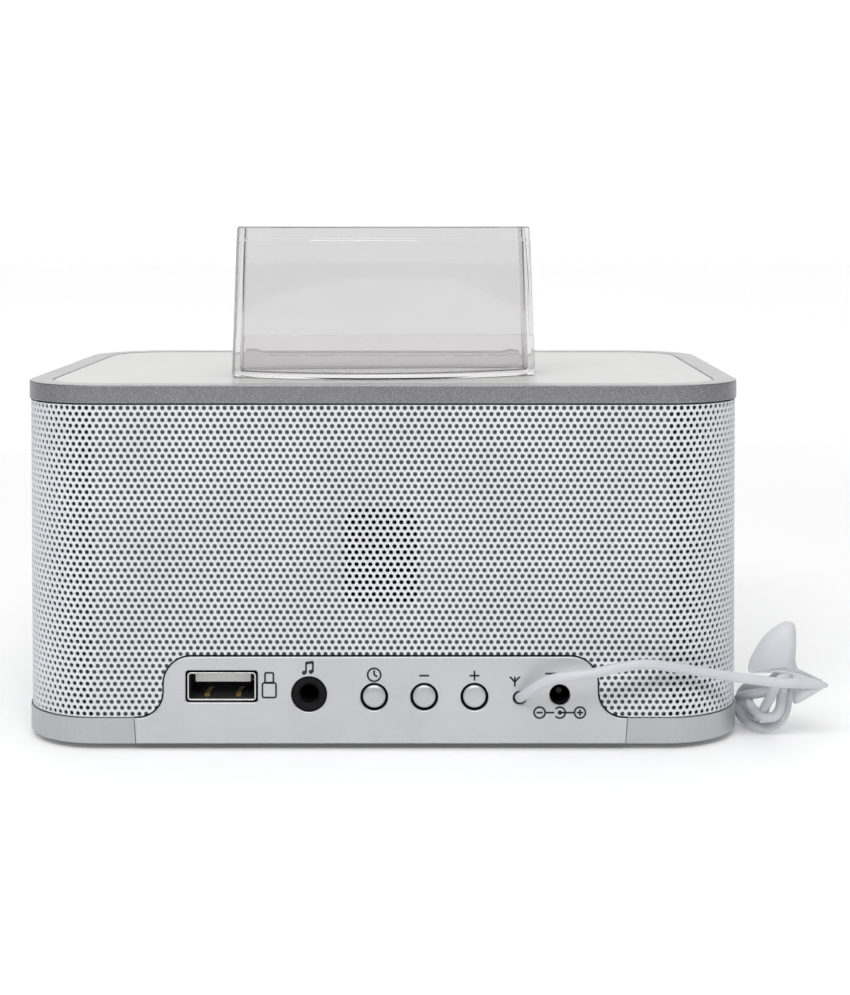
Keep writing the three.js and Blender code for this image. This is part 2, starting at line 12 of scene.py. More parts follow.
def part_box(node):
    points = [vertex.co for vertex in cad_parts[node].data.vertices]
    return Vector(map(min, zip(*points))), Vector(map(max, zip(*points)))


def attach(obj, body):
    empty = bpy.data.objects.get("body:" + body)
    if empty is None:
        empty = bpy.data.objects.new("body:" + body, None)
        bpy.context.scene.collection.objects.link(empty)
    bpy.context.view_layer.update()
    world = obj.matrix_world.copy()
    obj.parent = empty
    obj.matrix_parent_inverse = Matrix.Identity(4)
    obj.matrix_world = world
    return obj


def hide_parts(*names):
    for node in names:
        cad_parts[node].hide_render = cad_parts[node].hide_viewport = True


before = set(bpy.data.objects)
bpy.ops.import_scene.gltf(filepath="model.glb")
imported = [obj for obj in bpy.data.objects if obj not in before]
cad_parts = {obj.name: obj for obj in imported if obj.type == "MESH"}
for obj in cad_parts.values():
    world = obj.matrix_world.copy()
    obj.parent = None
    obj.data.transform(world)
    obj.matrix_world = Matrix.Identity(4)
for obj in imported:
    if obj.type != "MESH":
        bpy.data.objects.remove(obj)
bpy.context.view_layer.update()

MM = 0.001
ROOT = "radio_body"

# ---- Sizes, read from the frame ----

BAND_LO, BAND_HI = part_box("top_band")
BASE_LO, BASE_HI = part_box("base_ring")
PANEL_LO, PANEL_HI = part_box("rear_panel")
TOP_LO, TOP_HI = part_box("top_panel")
WINDOW_LO, WINDOW_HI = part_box("display_window")

HALF_W = BAND_HI[0]
HALF_D = BAND_HI[1]
REAR = HALF_D
FRONT = -HALF_D
BODY_TOP = BAND_HI[2]
CORNER_R = 15.5 * MM
SKIN = 2.1 * MM
GAP = 0.3 * MM
GRILLE_INSET = HALF_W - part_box("grille")[1][0]
GRILLE_T = 0.3 * MM
BAND_RIM = 4.6 * MM


def placed(name, data):
    """A new object in the scene."""
    thing = bpy.data.objects.new(name, data)
    bpy.context.collection.objects.link(thing)
    return thing


# ---- Camera ----

LENS = 64.35
LENS_SHIFT = (-0.0262, -0.2332)
EYE = (-13.43 * MM, REAR + 337.6 * MM, 100.7 * MM)
LOOKS_DOWN = math.radians(1.4)


def make_camera():
    data = bpy.data.cameras.new("camera")
    data.sensor_width = 36
    data.lens = LENS
    data.shift_x, data.shift_y = LENS_SHIFT
    data.clip_start = 0.01
    camera = placed("camera", data)
    camera.location = EYE
    camera.rotation_euler = (math.pi / 2 - LOOKS_DOWN, 0, math.pi)
    bpy.context.scene.camera = camera


make_camera()
bpy.context.scene.view_settings.view_transform = "Standard"


# ---- Materials ----

MATS = {}


def feed(tree, socket, value):
    """Gives a socket a constant, or a link from another node."""
    if isinstance(value, bpy.types.NodeSocket):
        tree.links.new(value, socket)
    else:
        socket.default_value = value


def mapped(tree, source, from_range, to_range, kind="LINEAR"):
    """Turns one range of values into another."""
    node = tree.nodes.new("ShaderNodeMapRange")
    node.interpolation_type = kind
    for socket, value in zip(("From Min", "From Max", "To Min", "To Max"), from_range + to_range):
        feed(tree, node.inputs[socket], value)
    feed(tree, node.inputs["Value"], source)
    return node.outputs["Result"]


def material(name, color, roughness, metallic=0.0, vary=0.04, scale=60.0, rough_vary=0.05,
             bump=0.0, bump_scale=4000.0, speck=None, speck_scale=5200.0, **sockets):
    """A procedural finish: slow colour drift, uneven roughness, fine bump and, on metallic paint, flakes."""
    mat = MATS[name] = bpy.data.materials.new(name)
    mat.use_nodes = True
    tree = mat.node_tree
    shader = tree.nodes["Principled BSDF"]
    shader.inputs["Metallic"].default_value = metallic
    for socket, value in sockets.items():
        shader.inputs[socket.replace("_", " ")].default_value = value
    place = tree.nodes.new("ShaderNodeTexCoord").outputs["Object"]

    def noise(noise_scale, detail=3.0):
        node = tree.nodes.new("ShaderNodeTexNoise")
        node.inputs["Scale"].default_value = noise_scale
        node.inputs["Detail"].default_value = detail
        feed(tree, node.inputs["Vector"], place)
        return node.outputs["Fac"]

    def mix(factor, first, second):
        node = tree.nodes.new("ShaderNodeMix")
        node.data_type = "RGBA"
        for socket, value in zip((node.inputs["Factor"], *node.inputs[6:8]), (factor, first, second)):
            feed(tree, socket, value)
        return node.outputs[2]

    dark = tuple(c * (1 - vary) for c in color) + (1,)
    light = tuple(min(1, c * (1 + vary)) for c in color) + (1,)
    tone = mix(mapped(tree, noise(scale), (0.3, 0.7), (0, 1)), dark, light)
    if speck:
        flake = mapped(tree, noise(speck_scale, 1.0), (0.5, 0.72), (0, 1))
        tone = mix(flake, tone, tuple(speck) + (1,))
    feed(tree, shader.inputs["Base Color"], tone)
    uneven = (max(0.0, roughness - rough_vary), min(1.0, roughness + rough_vary))
    feed(tree, shader.inputs["Roughness"], mapped(tree, noise(scale * 6), (0.3, 0.7), uneven))
    if bump:
        node = tree.nodes.new("ShaderNodeBump")
        node.inputs["Strength"].default_value = bump
        node.inputs["Distance"].default_value = 0.02 * MM
        feed(tree, node.inputs["Height"], noise(bump_scale))
        feed(tree, shader.inputs["Normal"], node.outputs["Normal"])


def flaked(name, color, roughness, metallic, speck, speck_scale, bump=0.4):
    """Metallic paint with lighter flakes in it."""
    material(
        name, color, roughness, metallic, bump=bump, bump_scale=9000, speck=speck, speck_scale=speck_scale,
    )


def clear(name, color, roughness, see_through=1.0, **more):
    """Acrylic that lets light through."""
    material(name, color, roughness, Transmission_Weight=see_through, IOR=1.49, **more)


def make_metal_finishes():
    material("steel_paint", (0.70, 0.722, 0.755), 0.42, bump=0.2, bump_scale=2500)
    flaked("band_paint", (0.23, 0.23, 0.25), 0.36, 0.8, (0.46, 0.46, 0.49), 5200, bump=0.5)
    # The band's flat top takes a lighter, less metallic copy of its paint: a painted highlight.
    flaked("band_top_painted_highlight", (0.47, 0.47, 0.47), 0.36, 0.35, (0.55, 0.55, 0.56), 5200)
    flaked("silver_paint", (0.57, 0.575, 0.595), 0.48, 0.65, (0.71, 0.71, 0.74), 6500)
    # The base ring has the rear panel's silver paint, made darker: painted shade for its sides and corners.
    flaked("silver_paint_shaded", (0.49, 0.495, 0.51), 0.45, 0.65, (0.6, 0.6, 0.62), 6500)
    material("cap_paint", (0.54, 0.545, 0.565), 0.42, metallic=0.6, bump=0.2, bump_scale=9000)
    # Steel darkened for painted shade: the USB shell's inside and the power socket's pin.
    material("steel_painted_shade", (0.05, 0.05, 0.052), 0.5, metallic=0.6, vary=0.1)
    material(
        "plated_steel", (0.62, 0.61, 0.60), 0.24, metallic=1.0, vary=0.08, rough_vary=0.08, bump=0.2,
    )
    material("gold", (0.80, 0.58, 0.24), 0.25, metallic=1.0, vary=0.1, bump=0.1)
    material("aluminium", (0.66, 0.67, 0.68), 0.35, metallic=1.0, vary=0.06, bump=0.3)


def make_clear_finishes():
    clear("acrylic", (0.72, 0.71, 0.715), 0.03, vary=0.01, rough_vary=0.015)
    # A clearer copy of the tray's acrylic: painted light, so the lip and floor don't darken the lower strip.
    clear("acrylic_painted_light", (0.97, 0.965, 0.965), 0.03, vary=0.01, rough_vary=0.015)
    # A dark copy of the acrylic: painted shade for the dark lines along the tray's rim and rear corner.
    clear("acrylic_painted_shade", (0.34, 0.34, 0.34), 0.12, 0.8, vary=0.05)
    clear("smoked", (0.05, 0.05, 0.055), 0.06, 0.85, rough_vary=0.02)


def make_plastic_finishes():
    material("white_gloss", (0.63, 0.625, 0.62), 0.3, vary=0.015, rough_vary=0.01, Specular_IOR_Level=0.3)
    # The cabinet's grey plastic, made near black: painted shade behind the grille.
    material("cabinet_painted_shade", (0.05, 0.05, 0.053), 0.6, bump=0.4, bump_scale=3000)
    # The walls and port tube behind the sheet, near black: painted shade seen through the holes.
    material("housing_painted_shade", (0.07, 0.072, 0.075), 0.55, bump=0.4, bump_scale=3000)
    material("black_plastic", (0.018, 0.018, 0.019), 0.38, vary=0.15, bump=0.3)
    # Black of the jack bodies; the same black is painted shade in the port's bore and round the rear buttons.
    material("black_and_painted_shade", (0.008, 0.008, 0.009), 0.7, vary=0.15, bump=0.3, Specular_IOR_Level=0.15)
    material("jack_black", (0.008, 0.008, 0.009), 0.55, vary=0.15, bump=0.2, Specular_IOR_Level=0.12)
    # White plastic, made lighter than the other whites: painted light for the tongue in the USB socket's
    # shade.
    material("white_moulding_painted_light", (0.92, 0.92, 0.90), 0.4, bump=0.2)
    material("vinyl", (0.60, 0.605, 0.64), 0.42, vary=0.03, scale=140, bump=0.35, bump_scale=900)


def make_other_finishes():
    material("rubber", (0.03, 0.03, 0.031), 0.8, vary=0.2, bump=0.8, bump_scale=2500)
    material("ferrite", (0.06, 0.06, 0.065), 0.6, vary=0.25, bump=0.8, bump_scale=1800)
    material("cone_paper", (0.03, 0.03, 0.032), 0.85, vary=0.3, bump=1.0, bump_scale=2200)
    material("board_green", (0.02, 0.13, 0.05), 0.3, vary=0.2, scale=300, bump=0.3)
    material("ink", (0.022, 0.022, 0.026), 0.6, vary=0.15)
    material(
        "digit_glow", (0.9, 0.95, 1.0), 0.5, Emission_Color=(0.75, 0.9, 1.0, 1.0), Emission_Strength=2.5,
    )
    material("digit_off", (0.03, 0.032, 0.036), 0.5)
    material("floor", (0.93, 0.93, 0.93), 0.7, vary=0.01, scale=3)


make_metal_finishes()
make_clear_finishes()
make_plastic_finishes()
make_other_finishes()


# ---- Making pieces ----

def finish_piece(name, mesh, look, nodes=(), body=ROOT, angle=30):
    """Turns a mesh into a piece that rides on a body, takes a finish and stands for CAD nodes."""
    mesh.validate()
    mesh.materials.append(MATS[look])
    mesh.shade_smooth()
    mesh.set_sharp_from_angle(angle=math.radians(angle))
    piece = placed(name, mesh)
    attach(piece, body)
    if nodes:
        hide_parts(*nodes)
    return piece


def cleaned(mesh, merge=0.0, flat=0.0):
    """Joins points closer than merge. Then it joins faces that lie within an angle, flat, of each other, or
    turns every face outward."""
    work = bmesh.new()
    work.from_mesh(mesh)
    if merge:
        bmesh.ops.remove_doubles(work, verts=work.verts, dist=merge)
    if flat:
        bmesh.ops.dissolve_limit(work, angle_limit=flat, verts=work.verts, edges=work.edges)
    else:
        bmesh.ops.recalc_face_normals(work, faces=work.faces)
    work.to_mesh(mesh)
    work.free()
    return mesh


def mesh_from(name, points, faces):
    mesh = bpy.data.meshes.new(name)
    mesh.from_pydata([tuple(p) for p in points], [], faces)
    return cleaned(mesh)


def arc(cx, cy, r, start, stop, steps):
    """Points on an arc from one angle to another, in degrees."""
    turn = [math.radians(start + (stop - start) * i / steps) for i in range(steps + 1)]
    return [(cx + r * math.cos(a), cy + r * math.sin(a)) for a in turn]


def circle(cx, cy, r, steps=48):
    return arc(cx, cy, r, 0, 360, steps)[:-1]


def rounded(w, h, r, cx=0.0, cy=0.0, steps=8):
    """A rounded rectangle, anticlockwise."""
    x, y = w / 2 - r, h / 2 - r
    points = []
    for sx, sy, start in ((1, -1, -90), (1, 1, 0), (-1, 1, 90), (-1, -1, 180)):
        points += arc(cx + sx * x, cy + sy * y, r, start, start + 90, steps)
    return points


def body_outline(inset, steps=18):
    return rounded(2 * (HALF_W - inset), 2 * (HALF_D - inset), CORNER_R - inset, steps=steps)


def soft_corners(profile, radius, steps=3):
    """Rounds a closed profile's corners with short curves."""
    points = []
    count = len(profile)
    for i in range(count):
        before, here, after = (Vector(profile[(i + k) % count]) for k in (-1, 0, 1))
        back, on = (before - here), (after - here)
        reach = min(radius, back.length * 0.45, on.length * 0.45)
        a, b = here + back.normalized() * reach, here + on.normalized() * reach
        for k in range(steps + 1):
            t = k / steps
            points.append(tuple(a * (1 - t) ** 2 + here * 2 * t * (1 - t) + b * t * t))
    return points


def lattice(rows, around, first=0):
    """The four-sided faces between rings of points, from one ring to the next."""
    faces = []
    for low, high in zip(rows, rows[1:]):
        for i in range(around):
            n = (i + 1) % around
            faces.append(tuple(first + k for k in (
                low * around + i, low * around + n, high * around + n, high * around + i,
            )))
    return faces


def swept_ring(profile):
    """Sweeps a closed profile of (inset, z) pairs round the body."""
    points = [(x, y, z) for inset, z in profile for x, y in body_outline(inset)]
    count = len(profile)
    return points, lattice([*range(count), 0], len(points) // count)


def plate(loops, thick, edge, steps=3):
    """A flat plate in X and Y from z = 0 to thick. The first loop is its outline and the rest are holes.

    Every edge is rounded by the radius edge."""
    levels = []
    for k in range(steps + 1):
        a = math.radians(90 * k / steps)
        levels.append((edge * (1 - math.sin(a)), edge * (1 - math.cos(a))))
    levels += [(off, thick - z) for off, z in reversed(levels)]
    points, faces, caps = [], [], ([], [])
    for number, loop in enumerate(loops):
        flat = np.array(loop, float)
        x, y = flat[:, 0], flat[:, 1]
        area = np.sum(x * np.roll(y, -1) - np.roll(x, -1) * y)
        if (area > 0) != (number == 0):
            flat = flat[::-1]
        ahead, behind = np.roll(flat, -1, 0) - flat, flat - np.roll(flat, 1, 0)
        ahead /= np.linalg.norm(ahead, axis=1)[:, None] + 1e-12
        behind /= np.linalg.norm(behind, axis=1)[:, None] + 1e-12
        normal_a = np.stack([-ahead[:, 1], ahead[:, 0]], 1)
        normal_b = np.stack([-behind[:, 1], behind[:, 0]], 1)
        inward = normal_a + normal_b
        inward /= np.maximum(np.sum(inward * normal_a, 1), 0.3)[:, None]
        count, base = len(flat), len(points)
        for off, z in levels:
            points += [(p[0] + n[0] * off, p[1] + n[1] * off, z) for p, n in zip(flat, inward)]
        faces += lattice(range(len(levels)), count, base)
        last = base + (len(levels) - 1) * count
        caps[0].append([(base + i) for i in range(count)])
        caps[1].append([(last + i) for i in range(count)])
    for cap in caps:
        index = [i for loop in cap for i in loop]
        filled = tessellate_polygon([[Vector(points[i]) for i in loop] for loop in cap])
        faces += [tuple(index[k] for k in face) for face in filled]
    return points, faces


def stood(solid, y_far):
    """Stands a flat plate up to face the rear: its own Z runs toward -Y from y_far."""
    points, faces = solid
    return [(x, y_far - z, y) for x, y, z in points], faces


def raised(solid, z):
    points, faces = solid
    return [(x, y, height + z) for x, y, height in points], faces


def merged(*solids):
    """One list of points and faces from several."""
    points, faces = [], []
    for some_points, some_faces in solids:
        start = len(points)
        points += list(some_points)
        faces += [tuple(i + start for i in face) for face in some_faces]
    return points, faces


ON_AXIS = 1e-7


def turned(profile, centre, axis, sides=48):
    """Spins (radius, height) pairs round an axis. A radius under ON_AXIS makes one point, not a ring."""
    basis = Vector(axis).normalized().to_track_quat("Z", "Y").to_matrix()
    points, faces, rings = [], [], []
    for r, h in profile:
        count = sides if r > ON_AXIS else 1
        rings.append(range(len(points), len(points) + count))
        for i in range(count):
            a = 2 * math.pi * i / sides
            points.append(basis @ Vector((r * math.cos(a), r * math.sin(a), h)) + Vector(centre))
    for low, high in zip(rings, rings[1:]):
        for i in range(sides):
            n = (i + 1) % sides
            corners = [ring[k % len(ring)] for ring, k in ((low, i), (low, n), (high, n), (high, i))]
            face = tuple(dict.fromkeys(corners))
            if len(face) > 2:
                faces.append(face)
    return points, faces


def flatter(piece):
    """Keeps broad faces flat in the shading beside their small rounded edges."""
    piece.modifiers.new("flat_faces", "WEIGHTED_NORMAL").keep_sharp = True
    return piece


def piece_of(name, solid, look, nodes=(), body=ROOT, angle=35):
    return flatter(finish_piece(name, mesh_from(name, *solid), look, nodes, body, angle))


def second_finish(piece, look, where):
    """Gives some faces one more finish. Here it paints shade into hole walls, bores and edges, and light onto
    a few faces.

    where says which faces, from their middle."""
    piece.data.materials.append(MATS[look])
    for face in piece.data.polygons:
        if where(face.center):
            face.material_index = len(piece.data.materials) - 1


def soft_edges(piece, width, segments, angle):
    """Rounds the edges that are sharper than an angle, in degrees."""
    bevel = piece.modifiers.new("soft_edges", "BEVEL")
    bevel.width = width
    bevel.segments = segments
    bevel.limit_method = "ANGLE"
    bevel.angle_limit = math.radians(angle)
    return bevel


def softened(node, look, body=ROOT, edge=0.15 * MM):
    """A copy of a CAD node with its flat faces merged and its sharp edges rounded."""
    mesh = bpy.data.objects[node].data.copy()
    mesh.materials.clear()
    cleaned(mesh, merge=1e-7, flat=math.radians(1))
    piece = finish_piece(f"{node}_fine", mesh, look, [node], body, angle=32)
    soft_edges(piece, edge, 2, 32).harden_normals = True


def centre_of(node):
    low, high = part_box(node)
    return (Vector(low) + Vector(high)) / 2


# ---- Antenna wire (made first, with the camera) ----

WIRE_D = 1.9 * MM
ANTENNA = Vector((-26.5, REAR / MM, 9.8)) * MM
# The route from the hole round the corner of the body to the hank, as in the CAD model.
WIRE_ROUTE = [
    (-26.5, 43.9, 9.7), (-26.6, 46, 9.9), (-27.2, 47.8, 10.8), (-28.4, 49.2, 12.1), (-30.2, 50.4, 13.5),
    (-32.4, 51.2, 14.7), (-35, 51.8, 15.4), (-40.2, 52, 16.1), (-45.1, 51.6, 17.1), (-50.6, 50.2, 17.3),
    (-56, 48.6, 16.3), (-62.7, 46.9, 14.8), (-70.6, 45.6, 13.3), (-76, 44.9, 12.5), (-79, 44.4, 12.2),
    (-81.3, 43.2, 11.9), (-82.2, 41.3, 11.5),
]
# The loops of the hank. Each passes through the tie at the top and hangs down toward the body.
HANK_ROUTE = [
    (-81.6, 39.8, 11.4), (-80.2, 39.6, 11.9), (-78.4, 40.3, 12.4), (-77.2, 40.6, 11.9), (-76.4, 40.2, 10.2),
    (-75.7, 39.5, 8.4), (-75, 38.3, 6.4), (-74.6, 36.6, 4.4), (-74, 34.4, 2.9), (-73.3, 31.6, 2.2),
    (-72.7, 28.2, 2.2), (-72.4, 25, 2.9), (-72.4, 23.4, 4.2), (-73.1, 23.9, 5.7), (-74.2, 26.4, 7),
    (-75.3, 29.2, 7.9), (-76.5, 31.2, 8.9), (-77.7, 32.2, 10.1), (-79, 32.6, 11.3), (-79.9, 33.6, 11.7),
    (-80.2, 35, 11.1), (-79.9, 36.2, 9.8), (-79.5, 36.9, 8.1), (-79.3, 37.1, 6.2), (-78.9, 36.9, 4.4),
    (-78.1, 36.5, 2.8), (-76.9, 36, 1.7), (-75.2, 35.5, 1.1), (-73.5, 34.4, 1.1), (-72.3, 32, 1.3),
    (-71.6, 29.2, 1.8), (-71.2, 27.2, 2.9), (-71.3, 27.2, 4.4), (-72.1, 29.6, 5.8), (-73.2, 32.4, 6.9),
    (-74.5, 34.4, 7.7), (-75.8, 35.2, 8.3), (-77.1, 35.5, 9.3), (-77.9, 35.8, 10.9), (-78.3, 36.9, 12.2),
    (-78.5, 38.2, 11.9), (-78.2, 38.9, 10.5), (-77.9, 39.1, 8.9), (-77.7, 39.2, 7.2), (-77.4, 39.1, 5.6),
    (-76.6, 38.9, 4.4), (-75.5, 38.6, 4), (-74.4, 38, 4.1), (-73.4, 36.8, 4.6), (-72.8, 34.4, 4.9),
    (-72.8, 31.4, 5.1), (-73.1, 29, 5.4),
]


def make_wire():
    curve = bpy.data.curves.new("antenna_wire_fine", "CURVE")
    curve.dimensions = "3D"
    curve.resolution_u = 8
    curve.bevel_depth = WIRE_D / 2
    curve.bevel_resolution = 6
    curve.use_fill_caps = True
    route = WIRE_ROUTE + HANK_ROUTE
    spline = curve.splines.new("BEZIER")
    spline.bezier_points.add(len(route) - 1)
    for knot, place in zip(spline.bezier_points, route):
        knot.co = [c * MM for c in place]
        knot.handle_left_type = knot.handle_right_type = "AUTO"
    curve.materials.append(MATS["vinyl"])
    wire = placed("antenna_wire_fine", curve)
    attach(wire, ROOT)
    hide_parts("antenna_wire", "antenna_hank")
    return wire


WIRE = make_wire()


# ---- The tie round the hank ----

def pillow(name, outline, middle_y, swell, thin, rings=8):
    """A closed, crowned leaf: its outline lies in X and Z, and it swells toward the rear."""
    count = len(outline)
    cx = sum(p[0] for p in outline) / count
    cz = sum(p[1] for p in outline) / count
    points, faces = [], []
    for side in (1, -1):
        for ring in range(rings):
            t = ring / rings
            crown = math.sqrt(1 - (1 - t) ** 3)
            lift = thin * crown * side + swell * (1 - (1 - t) ** 2)
            points += [(x + (cx - x) * t, middle_y + lift, z + (cz - z) * t) for x, z in outline]
        points.append((cx, middle_y + swell + thin * side, cz))
    block = rings * count + 1
    for half in (0, 1):
        base = half * block
        faces += lattice(range(rings), count, base)
        last = base + (rings - 1) * count
        faces += [(last + i, last + (i + 1) % count, base + rings * count) for i in range(count)]
    return cleaned(mesh_from(name, points, faces), merge=1e-6)


def smooth_line(points, steps=8, closed=True):
    """A smooth line through the points."""
    count = len(points)
    result = []
    for i in range(count if closed else count - 1):
        ends = [(i + k) % count if closed else min(max(i + k, 0), count - 1) for k in (-1, 0, 1, 2)]
        a, b, c, d = (Vector(points[k]) for k in ends)
        for k in range(steps):
            t = k / steps
            bend = (2 * a - 5 * b + 4 * c - d) * t * t + (3 * b - a - 3 * c + d) * t ** 3
            result.append(tuple(0.5 * (2 * b + (c - a) * t + bend)))
    if not closed:
        result.append(tuple(points[-1]))
    return result


def tapered_tube(points, radii, sides=20):
    """A closed tube along a line, with a radius at each of its points."""
    line = [Vector(p) for p in points]
    rings = []
    for i, here in enumerate(line):
        ahead = (line[min(i + 1, len(line) - 1)] - line[max(i - 1, 0)]).normalized()
        side = ahead.cross(Vector((0, 1, 0))).normalized()
        up = side.cross(ahead)
        for k in range(sides):
            a = 2 * math.pi * k / sides
            rings.append(here + (side * math.cos(a) + up * math.sin(a)) * radii[i])
    faces = lattice(range(len(line)), sides)
    faces.append(tuple(reversed(range(sides))))
    faces.append(tuple(range((len(line) - 1) * sides, len(line) * sides)))
    return rings, faces


FIN = [
    (-71.6, 13), (-71.5, 14.4), (-72.1, 16.2), (-74.6, 20.1), (-78.2, 22.7), (-80.4, 22.2), (-80.8, 18.6),
    (-80.7, 15), (-81.5, 13.2), (-83.6, 12.1), (-86, 11.2), (-84, 10.3), (-81, 10.9), (-78.5, 12.2),
    (-76, 12.9), (-73.4, 12.8),
]
SKIRT = [
    (-79.6, 12.9), (-82.3, 12.7), (-85, 11.9), (-86, 11.2), (-85, 10.2), (-82.4, 8.6), (-80, 7.4),
    (-79.5, 9.2), (-79.6, 11.2),
]
ROLLED_EDGE = [
    (-77.6, 44, 12.3), (-80.5, 43.8, 12), (-83.4, 43.1, 11.7), (-85.3, 42.5, 11.4), (-86.1, 42.2, 11.2),
]
EDGE_RADII = (0.5, 0.95, 0.85, 0.65, 0.3)
HEM = [
    (-71.9, 38.7, 13.2), (-74, 39.7, 13.5), (-76.5, 40.3, 13.6), (-79, 40.6, 13.2), (-81, 41, 12.7),
    (-82.6, 41.4, 12.3),
]
HEM_R = 0.42


def make_tie():
    """Two leaves of soft sheet, and the rolled edge and the hem along them."""
    parts = []
    for name, outline, y, swell, thin in (
        ("antenna_tie_fin", FIN, 38.4, 1.6, 1.1), ("antenna_tie_skirt", SKIRT, 41.3, 0.4, 1.7),
    ):
        smooth = [(x * MM, z * MM) for x, z in smooth_line(outline)]
        parts.append(pillow(name, smooth, y * MM, swell * MM, thin * MM))
    for name, route, radii in (
        ("antenna_tie_edge", ROLLED_EDGE, EDGE_RADII), ("antenna_tie_hem", HEM, [HEM_R] * len(HEM)),
    ):
        line = smooth_line([Vector(p) * MM for p in route], 6, closed=False)
        last = len(route) - 1
        thick = np.interp(np.linspace(0, last, len(line)), range(last + 1), radii) * MM
        parts.append(mesh_from(name, *tapered_tube(line, thick)))
    return [
        finish_piece(mesh.name, mesh, "vinyl", ["antenna_tie"], angle=70) for mesh in parts
    ]


TIE = make_tie()


# ---- Perforated grille ----

HOLE_R = 0.43 * MM
HOLE_SIDES = 12
COLUMNS = 330
SHEET_R = CORNER_R - GRILLE_INSET
SHEET_W = HALF_W - GRILLE_INSET - SHEET_R
SHEET_D = HALF_D - GRILLE_INSET - SHEET_R
AROUND = 4 * (SHEET_W + SHEET_D) + 2 * math.pi * SHEET_R
PITCH = AROUND / COLUMNS
SHEET_TOP = BAND_LO[2] - 0.35 * MM
SHEET_LOW = BASE_HI[2] + 0.2 * MM
ROWS = int(round((SHEET_TOP - SHEET_LOW) / (PITCH * math.sqrt(3) / 2)))
ROW = (SHEET_TOP - SHEET_LOW) / ROWS
STRIPS = 8


def along_sheet(s, depth):
    """Where the sheet is at a distance s round it, starting at the middle of the rear, and how deep."""
    bend = math.pi / 2 * SHEET_R
    spans = [0, SHEET_W, bend, 2 * SHEET_D, bend, 2 * SHEET_W, bend, 2 * SHEET_D, bend, SHEET_W]
    marks = np.cumsum(spans)
    s = np.mod(s, AROUND)
    middle_x = SHEET_W * np.interp(s, marks, [0, -1, -1, -1, -1, 1, 1, 1, 1, 0])
    middle_y = SHEET_D * np.interp(s, marks, [1, 1, 1, -1, -1, -1, -1, 1, 1, 1])
    facing = np.radians(np.interp(s, marks, [90, 90, 180, 180, 270, 270, 360, 360, 450, 450]))
    radius = SHEET_R - depth
    return middle_x + radius * np.cos(facing), middle_y + radius * np.sin(facing)


def cell_faces():
    """Triangles between a cell's eight border points (0 to 7) and the points round its hole (8 on)."""
    faces = []
    for quarter in range(4):
        side, corner, following = 2 * quarter, 2 * quarter + 1, (2 * quarter + 2) % 8
        first, second, third, fourth = (8 + (3 * quarter + k) % HOLE_SIDES for k in range(4))
        faces += [
            (side, second, first), (side, corner, second), (corner, third, second),
            (corner, following, third), (following, fourth, third),
        ]
    return np.array(faces)


def grille_cells(cells):
    """The solid sheet made of the given (column, row) cells, each with its round hole."""
    column, row = cells[:, 0], cells[:, 1]
    left = (2 * column + (row % 2)).astype(int)
    # Border points start at the middle of the bottom edge and go round anticlockwise, in half cells.
    across = np.array([1, 2, 2, 2, 1, 0, 0, 0])
    up = np.array([0, 0, 1, 2, 2, 2, 1, 0])
    border_u = left[:, None] + across
    turn = -np.pi / 2 + 2 * np.pi * np.arange(HOLE_SIDES) / HOLE_SIDES
    middle_s, middle_z = (left + 1) * PITCH / 2, SHEET_TOP - (row + 0.5) * ROW
    hole_s = middle_s[:, None] + HOLE_R * np.cos(turn)
    hole_z = middle_z[:, None] + HOLE_R * np.sin(turn)
    border_s = border_u * PITCH / 2
    border_z = SHEET_TOP - (row + 1)[:, None] * ROW + up * ROW / 2
    # Cells that touch share their border points. A key is a point's place round the sheet and down it.
    keys = np.mod(border_u, 2 * COLUMNS) * 4 * ROWS + 2 * (row + 1)[:, None] - up
    unique, first, inverse = np.unique(keys.ravel(), return_index=True, return_inverse=True)
    flat_s = np.concatenate([border_s.ravel()[first], hole_s.ravel()])
    flat_z = np.concatenate([border_z.ravel()[first], hole_z.ravel()])
    index = np.concatenate([
        inverse.reshape(border_u.shape), len(unique) + np.arange(hole_s.size).reshape(hole_s.shape),
    ], axis=1)
    front = index[:, cell_faces()].reshape(-1, 3)
    count = len(flat_s)
    edges = np.concatenate([front[:, [0, 1]], front[:, [1, 2]], front[:, [2, 0]]])
    code = np.sort(edges, axis=1)
    code = code[:, 0].astype(np.int64) * count + code[:, 1]
    _, where, uses = np.unique(code, return_index=True, return_counts=True)
    rim = edges[where[uses == 1]]
    walls = np.concatenate([
        np.stack([rim[:, 1], rim[:, 0], rim[:, 0] + count], 1),
        np.stack([rim[:, 1], rim[:, 0] + count, rim[:, 1] + count], 1),
    ])
    faces = np.concatenate([front, front[:, ::-1] + count, walls])
    x0, y0 = along_sheet(flat_s, 0.0)
    x1, y1 = along_sheet(flat_s, GRILLE_T)
    points = np.concatenate([np.stack([x0, y0, flat_z], 1), np.stack([x1, y1, flat_z], 1)])
    return points, faces


def fast_mesh(name, points, faces):
    mesh = bpy.data.meshes.new(name)
    mesh.vertices.add(len(points))
    mesh.vertices.foreach_set("co", points.astype(np.float32).ravel())
    mesh.loops.add(faces.size)
    mesh.loops.foreach_set("vertex_index", faces.astype(np.int32).ravel())
    mesh.polygons.add(len(faces))
    mesh.polygons.foreach_set("loop_start", np.arange(0, faces.size, 3, dtype=np.int32))
    mesh.update(calc_edges=True)
    return mesh


SEAM_LEAN = -0.35 * MM
SEAM_GAP = 0.04 * MM
TAB_HALF = 41.5 * MM
TAB_R = 5.2 * MM
TAB_FILLET = 5 * MM


